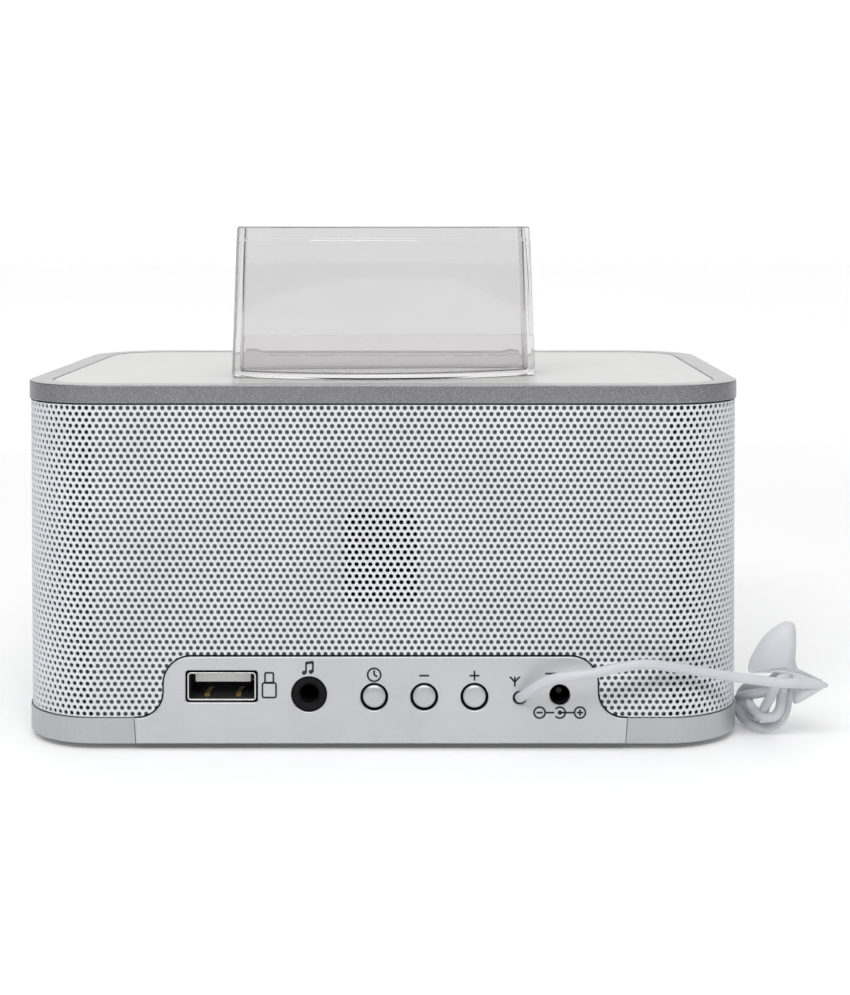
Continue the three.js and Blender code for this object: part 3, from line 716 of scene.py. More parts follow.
def panel_outline(grow, bottom):
    """The rear panel's outline in X and Z: a strip that rises through two fillets to a round tab."""
    half_foot, half, top = PANEL_HI[0], TAB_HALF + grow, PANEL_HI[2] + grow
    toe = half_foot + SEAM_LEAN
    shoulder, fillet = TAB_R + grow, TAB_FILLET - grow
    step = BASE_HI[2] + grow
    points = [(-toe, bottom), (toe, bottom), (half_foot, step)]
    points += arc(half + fillet, step + fillet, fillet, -90, -180, 10)
    points += arc(half - shoulder, top - shoulder, shoulder, 0, 90, 10)
    points += arc(-(half - shoulder), top - shoulder, shoulder, 90, 180, 10)
    points += arc(-(half + fillet), step + fillet, fillet, 0, -90, 10)
    points.append((-half_foot, step))
    return points


def inside(outline, x, z):
    """Which points lie inside an outline."""
    within = np.zeros(x.shape, bool)
    for (x0, z0), (x1, z1) in zip(outline, outline[1:] + outline[:1]):
        if z0 == z1:
            continue
        crosses = (z0 > z) != (z1 > z)
        within ^= crosses & (x < (x1 - x0) * (z - z0) / (z1 - z0) + x0)
    return within


def cut_with(mesh, solid):
    """A mesh less a closed solid."""
    block = placed("block", mesh)
    cutter = placed("cutter", mesh_from("cutter", *solid))
    change = block.modifiers.new("cut", "BOOLEAN")
    change.object = cutter
    change.operation = "DIFFERENCE"
    change.solver = "EXACT"
    graph = bpy.context.evaluated_depsgraph_get()
    result = bpy.data.meshes.new_from_object(block.evaluated_get(graph))
    for spent in (block, cutter):
        bpy.data.objects.remove(spent)
    return result


def make_grille():
    column, row = np.meshgrid(np.arange(COLUMNS), np.arange(ROWS), indexing="ij")
    cells = np.stack([column.ravel(), row.ravel()], 1)
    left = 2 * cells[:, 0] + cells[:, 1] % 2
    corner_s = (left[:, None] + np.array([0, 1, 2, 2, 2, 1, 0, 0])) * PITCH / 2
    drop = np.array([0, 0, 0, 0.5, 1, 1, 1, 0.5])
    corner_z = SHEET_TOP - (cells[:, 1][:, None] + drop) * ROW
    x, y = along_sheet(corner_s.ravel(), 0.0)
    x, y, z = x.reshape(corner_s.shape), y.reshape(corner_s.shape), corner_z
    window_w, window_h = WINDOW_HI[0] - WINDOW_LO[0] + 2 * GAP, WINDOW_HI[2] - WINDOW_LO[2] + 2 * GAP
    window_z = (WINDOW_HI[2] + WINDOW_LO[2]) / 2
    outlines = {
        "rear": panel_outline(GAP, BASE_LO[2]),
        "front": rounded(window_w, window_h, 3.3 * MM, 0, window_z),
    }
    taken = np.zeros(len(cells), bool)
    for side, outline in outlines.items():
        facing = (y > 0) if side == "rear" else (y < 0)
        hits = (inside(outline, x, z) & facing).sum(1)
        taken |= hits > 0
        rim_cells = cells[(hits > 0) & (hits < 8)]
        patch = fast_mesh("patch", *grille_cells(rim_cells))
        middle = REAR if side == "rear" else FRONT
        mesh = cut_with(patch, stood(plate([outline], 10 * MM, 0.0, steps=1), middle + 5 * MM))
        finish_piece(f"grille_rim_{side}", mesh, "steel_paint", ["grille"])
    plain = cells[~taken]
    for strip in range(STRIPS):
        low, high = COLUMNS * strip // STRIPS, COLUMNS * (strip + 1) // STRIPS
        here = plain[(plain[:, 0] >= low) & (plain[:, 0] < high)]
        mesh = fast_mesh(f"grille_strip_{strip + 1}", *grille_cells(here))
        finish_piece(mesh.name, mesh, "steel_paint", ["grille"])


make_grille()


# ---- Shell ----

# The insets between which the band and the base ring are grooved for the edges of the sheet.
GROOVE_OUTER = 0.22 * MM
GROOVE_INNER = 1.2 * MM


def make_band():
    low, high, skirt, roof = BAND_LO[2], BODY_TOP, BODY_TOP - 2 * MM, BAND_LO[2] + 1.1 * MM
    profile = [
        (0, low), (0, high), (BAND_RIM, high), (BAND_RIM, skirt), (SKIN, skirt), (SKIN, low),
        (GROOVE_INNER, low), (GROOVE_INNER, roof), (GROOVE_OUTER, roof), (GROOVE_OUTER, low),
    ]
    ring = swept_ring(soft_corners(profile, 0.3 * MM))
    piece = piece_of("top_band_fine", ring, "band_paint", ["top_band"])
    # Painted highlight: the band's flat top is given the lighter finish.
    second_finish(piece, "band_top_painted_highlight", lambda middle: middle.z > BODY_TOP - 0.06 * MM)


def make_base():
    low, high, floor = BASE_LO[2], BASE_HI[2], BASE_HI[2] - 0.7 * MM
    profile = [
        (0, low), (0, high), (GROOVE_OUTER, high), (GROOVE_OUTER, floor), (GROOVE_INNER, floor),
        (GROOVE_INNER, high), (SKIN, high), (SKIN, low),
    ]
    ring = mesh_from("base", *swept_ring(soft_corners(profile, 0.25 * MM)))
    foot = PANEL_HI[0] + SEAM_GAP
    toe = foot + SEAM_LEAN
    seam = [(toe, low - MM), (toe, low), (foot, high), (foot, high + MM)]
    wedge = seam + [(-x, z) for x, z in reversed(seam)]
    mesh = cut_with(ring, stood(plate([wedge], 9 * MM, 0.001 * MM, 1), REAR + MM))
    # The darker silver on the base ring is painted shade.
    flatter(finish_piece("base_ring_fine", mesh, "silver_paint_shaded", ["base_ring"], angle=35))


USB = centre_of("usb_shell")
AUX = centre_of("aux_jack")
DC = centre_of("dc_jack")
REAR_BUTTONS = ("time_button", "minus_button", "plus_button")
REAR_CAP_R = 2.2 * MM
COLLAR_R = 3.2 * MM
DC_BORE_R = 1.95 * MM
ANTENNA_HOLE_R = 1.25 * MM


def make_rear_panel():
    usb_lo, usb_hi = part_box("usb_shell")
    wide, tall = usb_hi[0] - usb_lo[0] + 0.7 * MM, usb_hi[2] - usb_lo[2] + 0.7 * MM
    loops = [
        panel_outline(0, PANEL_LO[2]),
        rounded(wide, tall, 0.6 * MM, USB[0], USB[2]),
        circle(AUX[0], AUX[2], COLLAR_R + 0.2 * MM),
        circle(DC[0], DC[2], DC_BORE_R),
        circle(ANTENNA[0], ANTENNA[2], ANTENNA_HOLE_R, 32),
    ]
    buttons = [centre_of(name) for name in REAR_BUTTONS]
    loops += [circle(middle.x, middle.z, REAR_CAP_R + 0.45 * MM) for middle in buttons]
    panel = stood(plate(loops, SKIN, 0.3 * MM, 4), REAR)
    piece = piece_of("rear_panel_fine", panel, "silver_paint", ["rear_panel"])
    # Painted shade: the hole walls and the edges behind the face turn black, for the dark gaps round the
    # panel and its holes.
    second_finish(piece, "black_plastic", lambda middle: middle.y < REAR - 0.35 * MM)


TOP_BUTTONS = ("alarm_button", "source_button", "snooze_bar", "volume_down_button", "volume_up_button")
TOP_CAP_R = 3.2 * MM
FLANGE_Z = BAND_LO[2] - GAP
PEG_X = 12 * MM
PEG_Y = 25 * MM
PEG_R = 1.5 * MM
PEG_H = 1.08 * MM
PEG_HOLE_R = 2.5 * MM


def stadium(x, y, half, r):
    return arc(x + half, y, r, -90, 90, 20) + arc(x - half, y, r, 90, 270, 20)


def top_button(name):
    """A top button's middle in X and Y, and half the length of its straight part."""
    low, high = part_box(name)
    middle = (Vector(low) + Vector(high)) / 2
    reach = (high[0] - low[0]) / 2
    return middle[0], middle[1], max(0.0, reach - TOP_CAP_R - 0.9 * MM)


def make_top_panel():
    caps = [stadium(*top_button(name), TOP_CAP_R + GAP) for name in TOP_BUTTONS]
    pegs = [circle(side * PEG_X, PEG_Y, PEG_HOLE_R, 32) for side in (-1, 1)]
    centre = [body_outline(BAND_RIM + GAP / 2), *caps, *pegs]
    flange = [body_outline(SKIN + GAP), *caps]
    slab = raised(plate(centre, 2.4 * MM, 0.2 * MM), TOP_HI[2] - 2.4 * MM)
    rest = raised(plate(flange, 1.3 * MM, 0.1 * MM, 1), BAND_LO[2])
    piece_of("top_panel_fine", slab, "white_gloss", ["top_panel"])
    post_x, post_y, post_r = 33 * MM, FRONT + 12 * MM, 2 * MM
    height = BAND_LO[2] - TOP_LO[2] + 0.2 * MM
    post = [(0, 0), (post_r - 0.2 * MM, 0), (post_r, 0.2 * MM), (post_r, height), (0, height)]
    posts = [turned(post, (side * post_x, post_y, TOP_LO[2]), (0, 0, 1), 32) for side in (-1, 1)]
    piece_of("top_panel_flange", merged(rest, *posts), "white_gloss", ["top_panel"])


make_band()
make_base()
make_rear_panel()
make_top_panel()


# ---- Phone tray ----

TRAY_BODY = "phone_tray_body"
TRAY_TURN = math.radians(4.5)
TRAY_HALF = 30.6 * MM
TRAY_FRONT = 15 * MM
TRAY_SIDE = 26 * MM
TRAY_H = 30 * MM
TRAY_LIP = 7.5 * MM
TRAY_WALL = 2 * MM
TRAY_FLOOR = 0.9 * MM
TRAY_DRAFT = 0.035
TRAY_BOW = 9.5 * MM
TRAY_Z = BODY_TOP + 0.1 * MM


def bowed(x0, y0, x1, y1, bulge, steps):
    """Points along a line that bows out to the right of its direction."""
    along = Vector((x1 - x0, y1 - y0))
    side = Vector((along.y, -along.x)).normalized()
    places = []
    for i in range(steps + 1):
        t = i / steps
        out = side * bulge * 4 * t * (1 - t)
        places.append((x0 + along.x * t + out.x, y0 + along.y * t + out.y))
    return places


def tray_outline(inset, lean):
    """The tray's plan outline, drawn in by an inset, with its back leaning forward by some more."""
    half, front, side = TRAY_HALF - inset, TRAY_FRONT + inset, TRAY_SIDE - inset * 0.6 - lean
    lip = bowed(-half, front, half, front, 1 * MM, 12)
    back = bowed(half, side, -half, side, TRAY_BOW - inset * 0.4, 32)
    return soft_corners(lip + back, 0.7 * MM, 3)


def tray_solid():
    """The tray standing on z = 0: its outer skin up, over the rim, down the pocket and across its floor."""
    fold = TRAY_H - 2.6 * MM
    soft = 0.3 * MM
    lean = 0.9 * MM
    bend = [(fold - 0.4 * MM, 0), (fold, 0.15 * MM), (fold + 0.5 * MM, 0.6 * MM)]
    sections = [(soft, 0, 0), (0, soft, 0)] + [(0, z, forward) for z, forward in bend]
    sections += [(0, TRAY_H - soft, lean), (soft, TRAY_H, lean)]
    sections += [(TRAY_WALL - soft, TRAY_H, lean), (TRAY_WALL, TRAY_H - soft, lean)]
    sections += [(TRAY_WALL, z, forward) for z, forward in reversed(bend)]
    sections += [(TRAY_WALL, TRAY_FLOOR + soft, 0), (TRAY_WALL + soft, TRAY_FLOOR, 0)]
    points = []
    for inset, z, forward in sections:
        shrink = 1 - TRAY_DRAFT * z / TRAY_H
        points += [(x * shrink, y, z) for x, y in tray_outline(inset, forward)]
    around = len(points) // len(sections)
    faces = lattice(range(len(sections)), around)
    last = (len(sections) - 1) * around
    faces.append(tuple(reversed(range(around))))
    faces.append(tuple(range(last, last + around)))
    return points, faces


def make_tray():
    inner, over = TRAY_HALF - TRAY_WALL, TRAY_H + MM
    mouth = [(-inner, TRAY_LIP), (inner, TRAY_LIP), (inner, over), (-inner, over)]
    mouth = stood(plate([mouth], 8 * MM, 0.001 * MM, 1), TRAY_FRONT + 3 * MM)
    mesh = cut_with(mesh_from("tray", *tray_solid()), mouth)
    turn = Matrix.Rotation(TRAY_TURN, 4, "Z")
    there = Matrix.Translation((0, PEG_Y, TRAY_Z)) @ turn @ Matrix.Translation((0, -PEG_Y, 0))
    mesh.transform(there)
    tray = finish_piece("phone_tray_fine", mesh, "acrylic", ["phone_tray"], TRAY_BODY)
    back = there.inverted()

    def on_edge(spot):
        x, y, z = back @ spot
        corner = x > TRAY_HALF * (1 - TRAY_DRAFT * z / TRAY_H) - 0.7 * MM and y > TRAY_SIDE - 1.8 * MM
        return z > TRAY_H - 0.28 * MM or corner

    def on_lip_or_floor(spot):
        y, z = (back @ spot).yz
        return y < TRAY_FRONT + TRAY_WALL + MM or z < TRAY_FLOOR + 0.3 * MM

    # Painted light: the lip and floor take the clearer copy of the acrylic.
    second_finish(tray, "acrylic_painted_light", on_lip_or_floor)
    # Painted shade: the rim's top and the corner at +X along the back take the dark acrylic.
    second_finish(tray, "acrylic_painted_shade", on_edge)
    soft_edges(tray, 0.25 * MM, 3, 50)
    flatter(tray)
    peg = [(0, 0), (PEG_R - 0.2 * MM, 0), (PEG_R, 0.2 * MM), (PEG_R, PEG_H), (0, PEG_H)]
    feet = [there @ Vector((side * PEG_X, PEG_Y, -1.1 * MM)) for side in (-1, 1)]
    pegs = [turned(peg, foot, (0, 0, 1), 32) for foot in feet]
    piece_of("phone_tray_pegs", merged(*pegs), "acrylic", ["phone_tray"], TRAY_BODY)


make_tray()


# ---- Sockets and buttons ----

def spring(x, path, half=0.5 * MM, thick=0.2 * MM):
    """A flat spring that follows a path of (y, z) points."""
    corners = ((-half, 0), (half, 0), (half, thick), (-half, thick))
    points = [(x + across, y, z + up) for y, z in path for across, up in corners]
    last = len(points)
    return points, lattice(range(len(path)), 4) + [(3, 2, 1, 0), tuple(range(last - 4, last))]


def make_usb():
    low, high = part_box("usb_shell")
    wide, tall, deep = (high[i] - low[i] for i in (0, 2, 1))
    wall = 0.3 * MM
    loops = [
        rounded(wide, tall, 0.6 * MM, USB[0], USB[2]),
        rounded(wide - 2 * wall, tall - 2 * wall, 0.35 * MM, USB[0], USB[2]),
    ]
    shell = stood(plate(loops, deep, 0.1 * MM), high[1])
    piece = piece_of("usb_shell_fine", shell, "plated_steel", ["usb_shell"])
    # Painted shade: the shell's inside, past its mouth, is darkened.
    second_finish(piece, "steel_painted_shade", lambda middle: middle.y < high[1] - 0.3 * MM)
    # Painted light: the tongue's white is raised to make up for the shade in the socket.
    softened("usb_tongue", "white_moulding_painted_light", edge=0.12 * MM)
    floor = low[2] + wall + 0.02 * MM
    rise = [(1.8, 0), (2.4, 0.3), (3, 0.4), (8, 0.1)]
    path = [(high[1] - back * MM, floor + lift * MM) for back, lift in rise]
    springs = [spring(USB[0] + side * 3 * MM, path) for side in (-1, 1)]
    piece_of("usb_springs", merged(*springs), "gold", ["usb_shell"])


def make_aux():
    face = REAR - SKIN - GAP
    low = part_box("aux_jack")[0]
    bore = 1.85 * MM
    collar = [
        (bore, face - 1 * MM), (COLLAR_R, face - 1 * MM), (COLLAR_R, REAR - 0.25 * MM),
        (COLLAR_R - 0.15 * MM, REAR - 0.1 * MM), (bore + 0.55 * MM, REAR - 0.1 * MM),
        (bore + 0.35 * MM, REAR - 0.3 * MM), (bore, REAR - 0.6 * MM),
    ]
    points, faces = turned(collar + collar[:1], (AUX[0], 0, AUX[2]), (0, 1, 0), 64)
    piece_of("aux_jack_collar", (points, faces), "jack_black", ["aux_jack"])
    size = 8 * MM
    loops = [rounded(size, size, 0.4 * MM, AUX[0], AUX[2]), circle(AUX[0], AUX[2], bore)]
    body = stood(plate(loops, face - low[1] - 2 * MM, 0.1 * MM, 1), face - 0.02 * MM)
    back = stood(plate(loops[:1], 2 * MM, 0.1 * MM, 1), low[1] + 2 * MM)
    piece_of("aux_jack_body", merged(body, back), "black_and_painted_shade", ["aux_jack"])


def make_dc():
    low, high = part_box("dc_jack")
    size = high[0] - low[0]
    loops = [rounded(size, size, 0.4 * MM, DC[0], DC[2]), circle(DC[0], DC[2], DC_BORE_R)]
    depth = high[1] - low[1] - 4 * MM
    body = stood(plate(loops, depth, 0.1 * MM, 1), high[1])
    back = stood(plate(loops[:1], 4 * MM, 0.1 * MM, 1), low[1] + 4 * MM)
    piece_of("dc_jack_fine", merged(body, back), "black_and_painted_shade", ["dc_jack"])
    # Painted shade: the metal pin is coloured dark for the shade inside the socket.
    softened("dc_pin", "steel_painted_shade", edge=0.15 * MM)


def make_rear_button(name):
    body = f"{name}_body"
    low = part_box(name)[0]
    centre = centre_of(name)
    flange = REAR - SKIN - GAP
    stem, shoulder = 1.3 * MM, 3.2 * MM
    profile = [
        (0, low[1]), (stem, low[1]), (stem, flange - 1.2 * MM), (shoulder, flange - 1.2 * MM),
        (shoulder, flange), (REAR_CAP_R, flange), (REAR_CAP_R, REAR - 0.9 * MM),
        (REAR_CAP_R, REAR - 0.55 * MM),
    ]
    dome = 10
    for i in range(1, dome + 1):
        a = math.radians(90 * i / dome)
        profile.append((REAR_CAP_R * math.cos(a) ** 0.7, REAR - 0.55 * MM + 0.54 * MM * math.sin(a)))
    cap = turned(profile, (centre[0], 0, centre[2]), (0, 1, 0), 64)
    piece = piece_of(f"{name}_fine", cap, "cap_paint", [name], body, angle=50)
    # Painted shade: the cap below its dome, the flange and the stem turn black, for the dark ring round each
    # cap.
    second_finish(piece, "black_and_painted_shade", lambda spot: spot.y < REAR - 0.6 * MM)
    short = name.removesuffix("_button")
    softened(f"{short}_plunger", "black_plastic", body)
    softened(f"{short}_switch", "black_plastic")


def make_top_button(name):
    body = f"{name}_body"
    x, y, half = top_button(name)
    low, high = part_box(name)
    bottom = FLANGE_Z - 0.5 * MM
    cap = raised(plate([stadium(x, y, half, TOP_CAP_R)], high[2] - bottom, 0.45 * MM, 5), bottom)
    flange = raised(plate([stadium(x, y, half, TOP_CAP_R + 0.9 * MM)], 1 * MM, 0.15 * MM), FLANGE_Z - 1 * MM)
    stem_r = 1.6 * MM
    rod = [(0, 0), (stem_r, 0), (stem_r, bottom - low[2]), (0, bottom - low[2])]
    stem = turned(rod, (x, y, low[2]), (0, 0, 1), 32)
    piece_of(f"{name}_fine", merged(cap, flange, stem), "white_gloss", [name], body)
    softened(f"{name}_switch", "black_plastic")


make_usb()
make_aux()
make_dc()
for each in REAR_BUTTONS:
    make_rear_button(each)
for each in TOP_BUTTONS:
    make_top_button(each)


# ---- Front display ----

SEGMENTS = {"0": "abcdef", "1": "bc", "2": "abged"}
DIGIT_W = 4.6 * MM
DIGIT_H = 8.4 * MM
STROKE = 0.9 * MM


def segment(letter, x, z):
    """One bar of a seven-segment digit whose middle is at (x, z), as seen from the front."""
    half_w, half_h = DIGIT_W / 2, DIGIT_H / 2
    spots = {
        "a": (0, half_h, True), "g": (0, 0, True), "d": (0, -half_h, True),
        "b": (half_w, half_h / 2, False), "c": (half_w, -half_h / 2, False),
        "e": (-half_w, -half_h / 2, False), "f": (-half_w, half_h / 2, False),
    }
    dx, dz, level = spots[letter]
    long = (DIGIT_W if level else half_h) / 2 - 0.15 * MM
    tip = long - STROKE / 2
    side = STROKE / 2
    bar = [(-long, 0), (-tip, -side), (tip, -side), (long, 0), (tip, side), (-tip, side)]
    if not level:
        bar = [(v, u) for u, v in bar]
    return [(x + dx + u, z + dz + v) for u, v in bar]


def make_digits():
    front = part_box("display_module")[0][1]
    middle = centre_of("display_module")
    thick = 0.12 * MM
    lit, unlit = [], []
    offsets = (-12.2, -5.2, 5.2, 12.2)
    for offset, digit in zip(offsets, "1200"):
        for letter in "abcdefg":
            outline = segment(letter, middle[0] + offset * MM, middle[2])
            bar = stood(plate([outline], thick, 0.02 * MM, 1), front)
            (lit if letter in SEGMENTS[digit] else unlit).append(bar)
    for rise in (-2, 2):
        spot = circle(middle[0], middle[2] + rise * MM, 0.6 * MM, 20)
        lit.append(stood(plate([spot], thick, 0.02 * MM, 1), front))
    piece_of("display_digits_lit", merged(*lit), "digit_glow", ["display_module"])
    piece_of("display_digits_unlit", merged(*unlit), "digit_off", ["display_module"])


def make_window():
    wide, tall = WINDOW_HI[0] - WINDOW_LO[0], WINDOW_HI[2] - WINDOW_LO[2]
    middle = centre_of("display_window")
    outline = rounded(wide, tall, 3 * MM, middle[0], middle[2], 10)
    window = stood(plate([outline], WINDOW_HI[1] - WINDOW_LO[1], 0.3 * MM), WINDOW_HI[1])
    piece_of("display_window_fine", window, "smoked", ["display_window"])


make_window()
make_digits()


# ---- Printed marks on the rear panel ----

INK = 0.36 * MM
MARK_Z = 14.1 * MM


def line(points, width=INK, closed=False):
    """The outline of a line drawn through the points, or round them."""
    path = np.array(points, float)
    ahead = np.roll(path, -1, 0) - np.roll(path, 1, 0) if closed else np.gradient(path, axis=0)
    ahead /= np.linalg.norm(ahead, axis=1)[:, None]
    side = np.stack([-ahead[:, 1], ahead[:, 0]], 1) * width / 2
    edges = [[tuple(p) for p in path - side], [tuple(p) for p in (path + side)[::-1]]]
    return edges if closed else [edges[0] + edges[1]]


def stroke(x, z, across, up):
    """A straight line through (x, z) that reaches so far to each side of it."""
    return line([(x - across, z - up), (x + across, z + up)])


def hoop(x, z, r):
    return [circle(x, z, r + INK / 2, 36), circle(x, z, r - INK / 2, 36)]


def dot(x, z, r=0.42 * MM):
    return [circle(x, z, r, 24)]


def mark(name, *shapes):
    """Prints shapes on the panel. They are drawn as seen from the rear, so X grows to the left."""
    film = 0.04 * MM
    solids = [stood(plate(shape, film, 0.004 * MM, 1), REAR + film * 0.8) for shape in shapes]
    piece_of(name, merged(*solids), "ink", angle=60)


def mark_buttons():
    """A clock, a minus and a plus above the rear buttons."""
    time, minus, plus = (centre_of(name)[0] for name in REAR_BUTTONS)
    arm = 0.95 * MM
    dial = MARK_Z + 0.15 * MM
    mark("mark_minus", stroke(minus, MARK_Z, arm, 0))
    mark("mark_plus", stroke(plus, MARK_Z, arm, 0), stroke(plus, MARK_Z, 0, arm))
    mark(
        "mark_clock", hoop(time, dial, 1.25 * MM), line([(time, dial), (time, dial + 0.9 * MM)]),
        line([(time, dial), (time - 0.6 * MM, dial - 0.35 * MM)]),
    )


def mark_sound():
    """Two joined quavers above the audio socket."""
    x, z = AUX[0], 15.6 * MM
    stem = 0.62 * MM
    left, right = z - 0.95 * MM, z - 0.75 * MM
    mark(
        "mark_sound", dot(x + stem * 1.5, left), dot(x - stem * 0.6, right),
        line([(x + stem * 0.9, left), (x + stem * 0.9, z + 1 * MM)]),
        line([(x - stem * 1.2, right), (x - stem * 1.2, z + 1.2 * MM)]),
        line([(x + stem * 1.05, z + 0.9 * MM), (x - stem * 1.35, z + 1.1 * MM)], INK * 1.5),
    )


def mark_plug():
    """The outline of a plug beside the USB socket."""
    x, z = USB[0] - 9.1 * MM, USB[2] + 0.2 * MM
    mark(
        "mark_plug", line(rounded(2.6 * MM, 2.8 * MM, 0.3 * MM, x, z - 0.9 * MM, 2), closed=True),
        line(rounded(1.6 * MM, 1.9 * MM, 0.2 * MM, x, z + 1.5 * MM, 2), closed=True),
    )


def mark_antenna():
    """A mast with two arms beside the antenna's hole."""
    x, z = ANTENNA[0] + 0.9 * MM, 12.9 * MM
    arms = [line([(x, z), (x + side * 0.95 * MM, z + 1 * MM)]) for side in (-1, 1)]
    mark("mark_antenna", line([(x, z - 0.9 * MM), (x, z + 1 * MM)]), *arms)


def mark_power():
    """The direct-current sign and the polarity sign of the power socket."""
    x, z = DC[0] + 1.2 * MM, MARK_Z
    dashes = [stroke(x + k * MM, z - 0.4 * MM, 0.35 * MM, 0) for k in (-1.2, 0, 1.2)]
    mark("mark_direct", stroke(x, z + 0.4 * MM, 1.6 * MM, 0), *dashes)
    low, step, ring, arm = 7 * MM, 3.85 * MM, 1.05 * MM, 0.6 * MM
    middle, left, right = DC[0], DC[0] + step, DC[0] - step
    mark(
        "mark_polarity", hoop(left, low, ring), hoop(right, low, ring), stroke(left, low, arm, 0),
        stroke(right, low, arm, 0), stroke(right, low, 0, arm), dot(middle, low),
        line(arc(middle, low, ring, 40, 320, 28)), line([(middle + ring, low), (left - ring, low)]),
        line([(middle, low), (right + ring, low)]),
    )


mark_buttons()
mark_sound()
mark_plug()
mark_antenna()
mark_power()


# ---- Inside ----

def make_port_tube():
    low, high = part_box("port_tube")
    middle = centre_of("port_tube")
    wide, tall, wall = high[0] - low[0], high[2] - low[2], 1.5 * MM
    bore = rounded(wide - 2 * wall, tall - 2 * wall, 2.6 * MM, middle[0], middle[2])
    loops = [rounded(wide, tall, 4.1 * MM, middle[0], middle[2]), bore]
    tube = stood(plate(loops, high[1] - low[1], 0.3 * MM), high[1])
    piece = piece_of("port_tube_fine", tube, "housing_painted_shade", ["port_tube"])
    across, up = wide / 2 - wall + 0.05 * MM, tall / 2 - wall + 0.05 * MM

    def in_bore(spot):
        return abs(spot.x - middle.x) < across and abs(spot.z - middle.z) < up

    # Painted shade: the bore of the port turns black.
    second_finish(piece, "black_and_painted_shade", in_bore)


LINING_T = 0.3 * MM
LINING_X = 55.2 * MM
LINING_Y = 29 * MM


def make_cabinet_walls():
    """The cabinet's flat walls just behind the sheet, at the rear and the sides but not round the corners."""
    inset = GRILLE_INSET + GRILLE_T + 0.05 * MM
    low, high = BASE_HI[2] + 0.6 * MM, SHEET_TOP - 0.25 * MM
    tall, level = high - low, (high + low) / 2
    port_lo, port_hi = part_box("port_tube")
    wide, deep = port_hi[0] - port_lo[0] - 2 * MM, port_hi[2] - port_lo[2] - 2 * MM
    middle = centre_of("port_tube")
    port = rounded(wide, deep, 3.1 * MM, middle.x, middle.z)
    loops = [rounded(2 * LINING_X, tall, MM, 0, level), port]
    wall = mesh_from("wall", *stood(plate(loops, LINING_T, 0.0, 1), REAR - inset))
    notch = stood(plate([panel_outline(GAP, 0)], 4 * MM, 0.0, 1), REAR)
    # These walls are coloured near black: painted shade in the holes of the sheet.
    finish_piece("cabinet_wall_rear", cut_with(wall, notch), "housing_painted_shade", ["cabinet"])
    flat, faces = plate([rounded(2 * LINING_Y, tall, MM, 0, level)], LINING_T, 0.0, 1)
    sides = [([(side * (HALF_W - inset - w), y, z) for y, z, w in flat], faces) for side in (-1, 1)]
    piece_of("cabinet_wall_sides", merged(*sides), "housing_painted_shade", ["cabinet"])


make_cabinet_walls()
make_port_tube()

# Each CAD node, with its finish, its slot and the radius of its edges in mm.
INSIDE = [
    # The cabinet's near black is painted shade; its own plastic is grey.
    ("cabinet", "cabinet_painted_shade", "grey_plastic", 0.2),
    ("bottom_plate", "black_plastic", "black_plastic", 0.25),
]
for corner in range(1, 5):
    INSIDE += [
        (f"foot_{corner}", "rubber", "black_rubber", 0.3),
        (f"bottom_screw_{corner}", "plated_steel", "bright_steel", 0.15),
    ]
for side in ("left", "right"):
    INSIDE += [
        (f"speaker_frame_{side}", "plated_steel", "bright_steel", 0.2),
        (f"speaker_cone_{side}", "cone_paper", "cone_paper", 0.2),
        (f"speaker_magnet_{side}", "ferrite", "ferrite", 0.5),
    ]
for board in ("main", "rear", "top", "display"):
    INSIDE.append((f"{board}_board", "board_green", "circuit_board", 0.1))
INSIDE += [
    ("display_module", "black_plastic", "black_plastic", 0.3),
    ("tuner_shield", "plated_steel", "bright_steel", 0.4),
    ("amplifier_heatsink", "aluminium", "aluminium", 0.3),
    ("supply_capacitor", "black_plastic", "black_plastic", 0.5),
    ("antenna_terminal", "black_plastic", "black_plastic", 0.3),
]
for node, look, slot, edge in INSIDE:
    softened(node, look, edge=edge * MM)


# ---- Stage and light ----

FLOOR_HALF = 4
# The floor glows more beyond the front than under the radio, and changes between these places in Y.
FLOOR_GLOW = (0.3, 0.1)
FLOOR_FADE = (-0.7, -0.05)
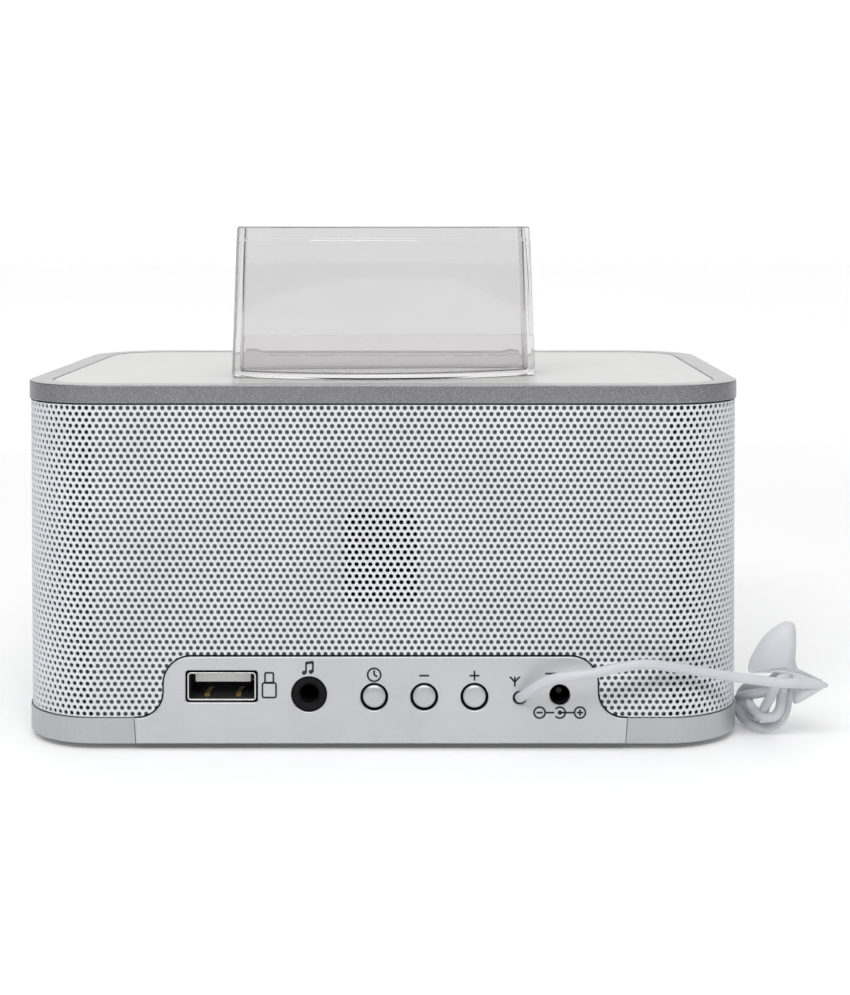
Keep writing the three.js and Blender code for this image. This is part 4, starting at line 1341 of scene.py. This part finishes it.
# Brightness of the world: straight beyond the front, low round the rest of the room, and overhead.
BACKDROP = 1.05
ROOM_DIM = 0.1
CEILING = 0.85
KEY_SIZE = (0.7, 0.2)
KEY_POWER = 3.5
KEY_PLACE = Vector((0.06, REAR + 0.55, 0.6))
KEY_AIM = Vector((0, REAR, 0.03))


def coordinate(tree, kind, axis):
    """One coordinate of the place that is shaded."""
    split = tree.nodes.new("ShaderNodeSeparateXYZ")
    feed(tree, split.inputs["Vector"], tree.nodes.new("ShaderNodeTexCoord").outputs[kind])
    return split.outputs[axis]


def make_floor():
    """A pale floor that runs into the white backdrop."""
    half = FLOOR_HALF
    corners = [(-half, -half, 0), (half, -half, 0), (half, half, 0), (-half, half, 0)]
    mesh = mesh_from("floor", corners, [(0, 1, 2, 3)])
    mesh.materials.append(MATS["floor"])
    floor = placed("floor", mesh)
    floor.location.z = -0.2 * MM
    tree = MATS["floor"].node_tree
    shader = tree.nodes["Principled BSDF"]
    shader.inputs["Emission Color"].default_value = (1, 1, 1, 1)
    glow = mapped(tree, coordinate(tree, "Object", "Y"), FLOOR_FADE, FLOOR_GLOW, "SMOOTHSTEP")
    feed(tree, shader.inputs["Emission Strength"], glow)


def make_world():
    """A white backdrop beyond the front, a bright ceiling, and a dimmer room on the rear's side."""
    world = bpy.context.scene.world = bpy.data.worlds.new("studio")
    world.use_nodes = True
    tree = world.node_tree
    up, rearward = (coordinate(tree, "Generated", axis) for axis in "ZY")
    room = mapped(tree, up, (0.15, 0.8), (ROOM_DIM, CEILING), "SMOOTHSTEP")
    light = mapped(tree, rearward, (-0.93, -0.6), (BACKDROP, room), "SMOOTHSTEP")
    background = tree.nodes["Background"]
    background.inputs["Color"].default_value = (1, 1, 1, 1)
    feed(tree, background.inputs["Strength"], light)


def make_key_light():
    data = bpy.data.lights.new("key", "AREA")
    data.shape = "RECTANGLE"
    data.size, data.size_y = KEY_SIZE
    data.energy = KEY_POWER
    light = placed("key", data)
    light.location = KEY_PLACE
    light.rotation_euler = (KEY_AIM - KEY_PLACE).to_track_quat("-Z", "Y").to_euler()


make_floor()
make_world()
make_key_light()
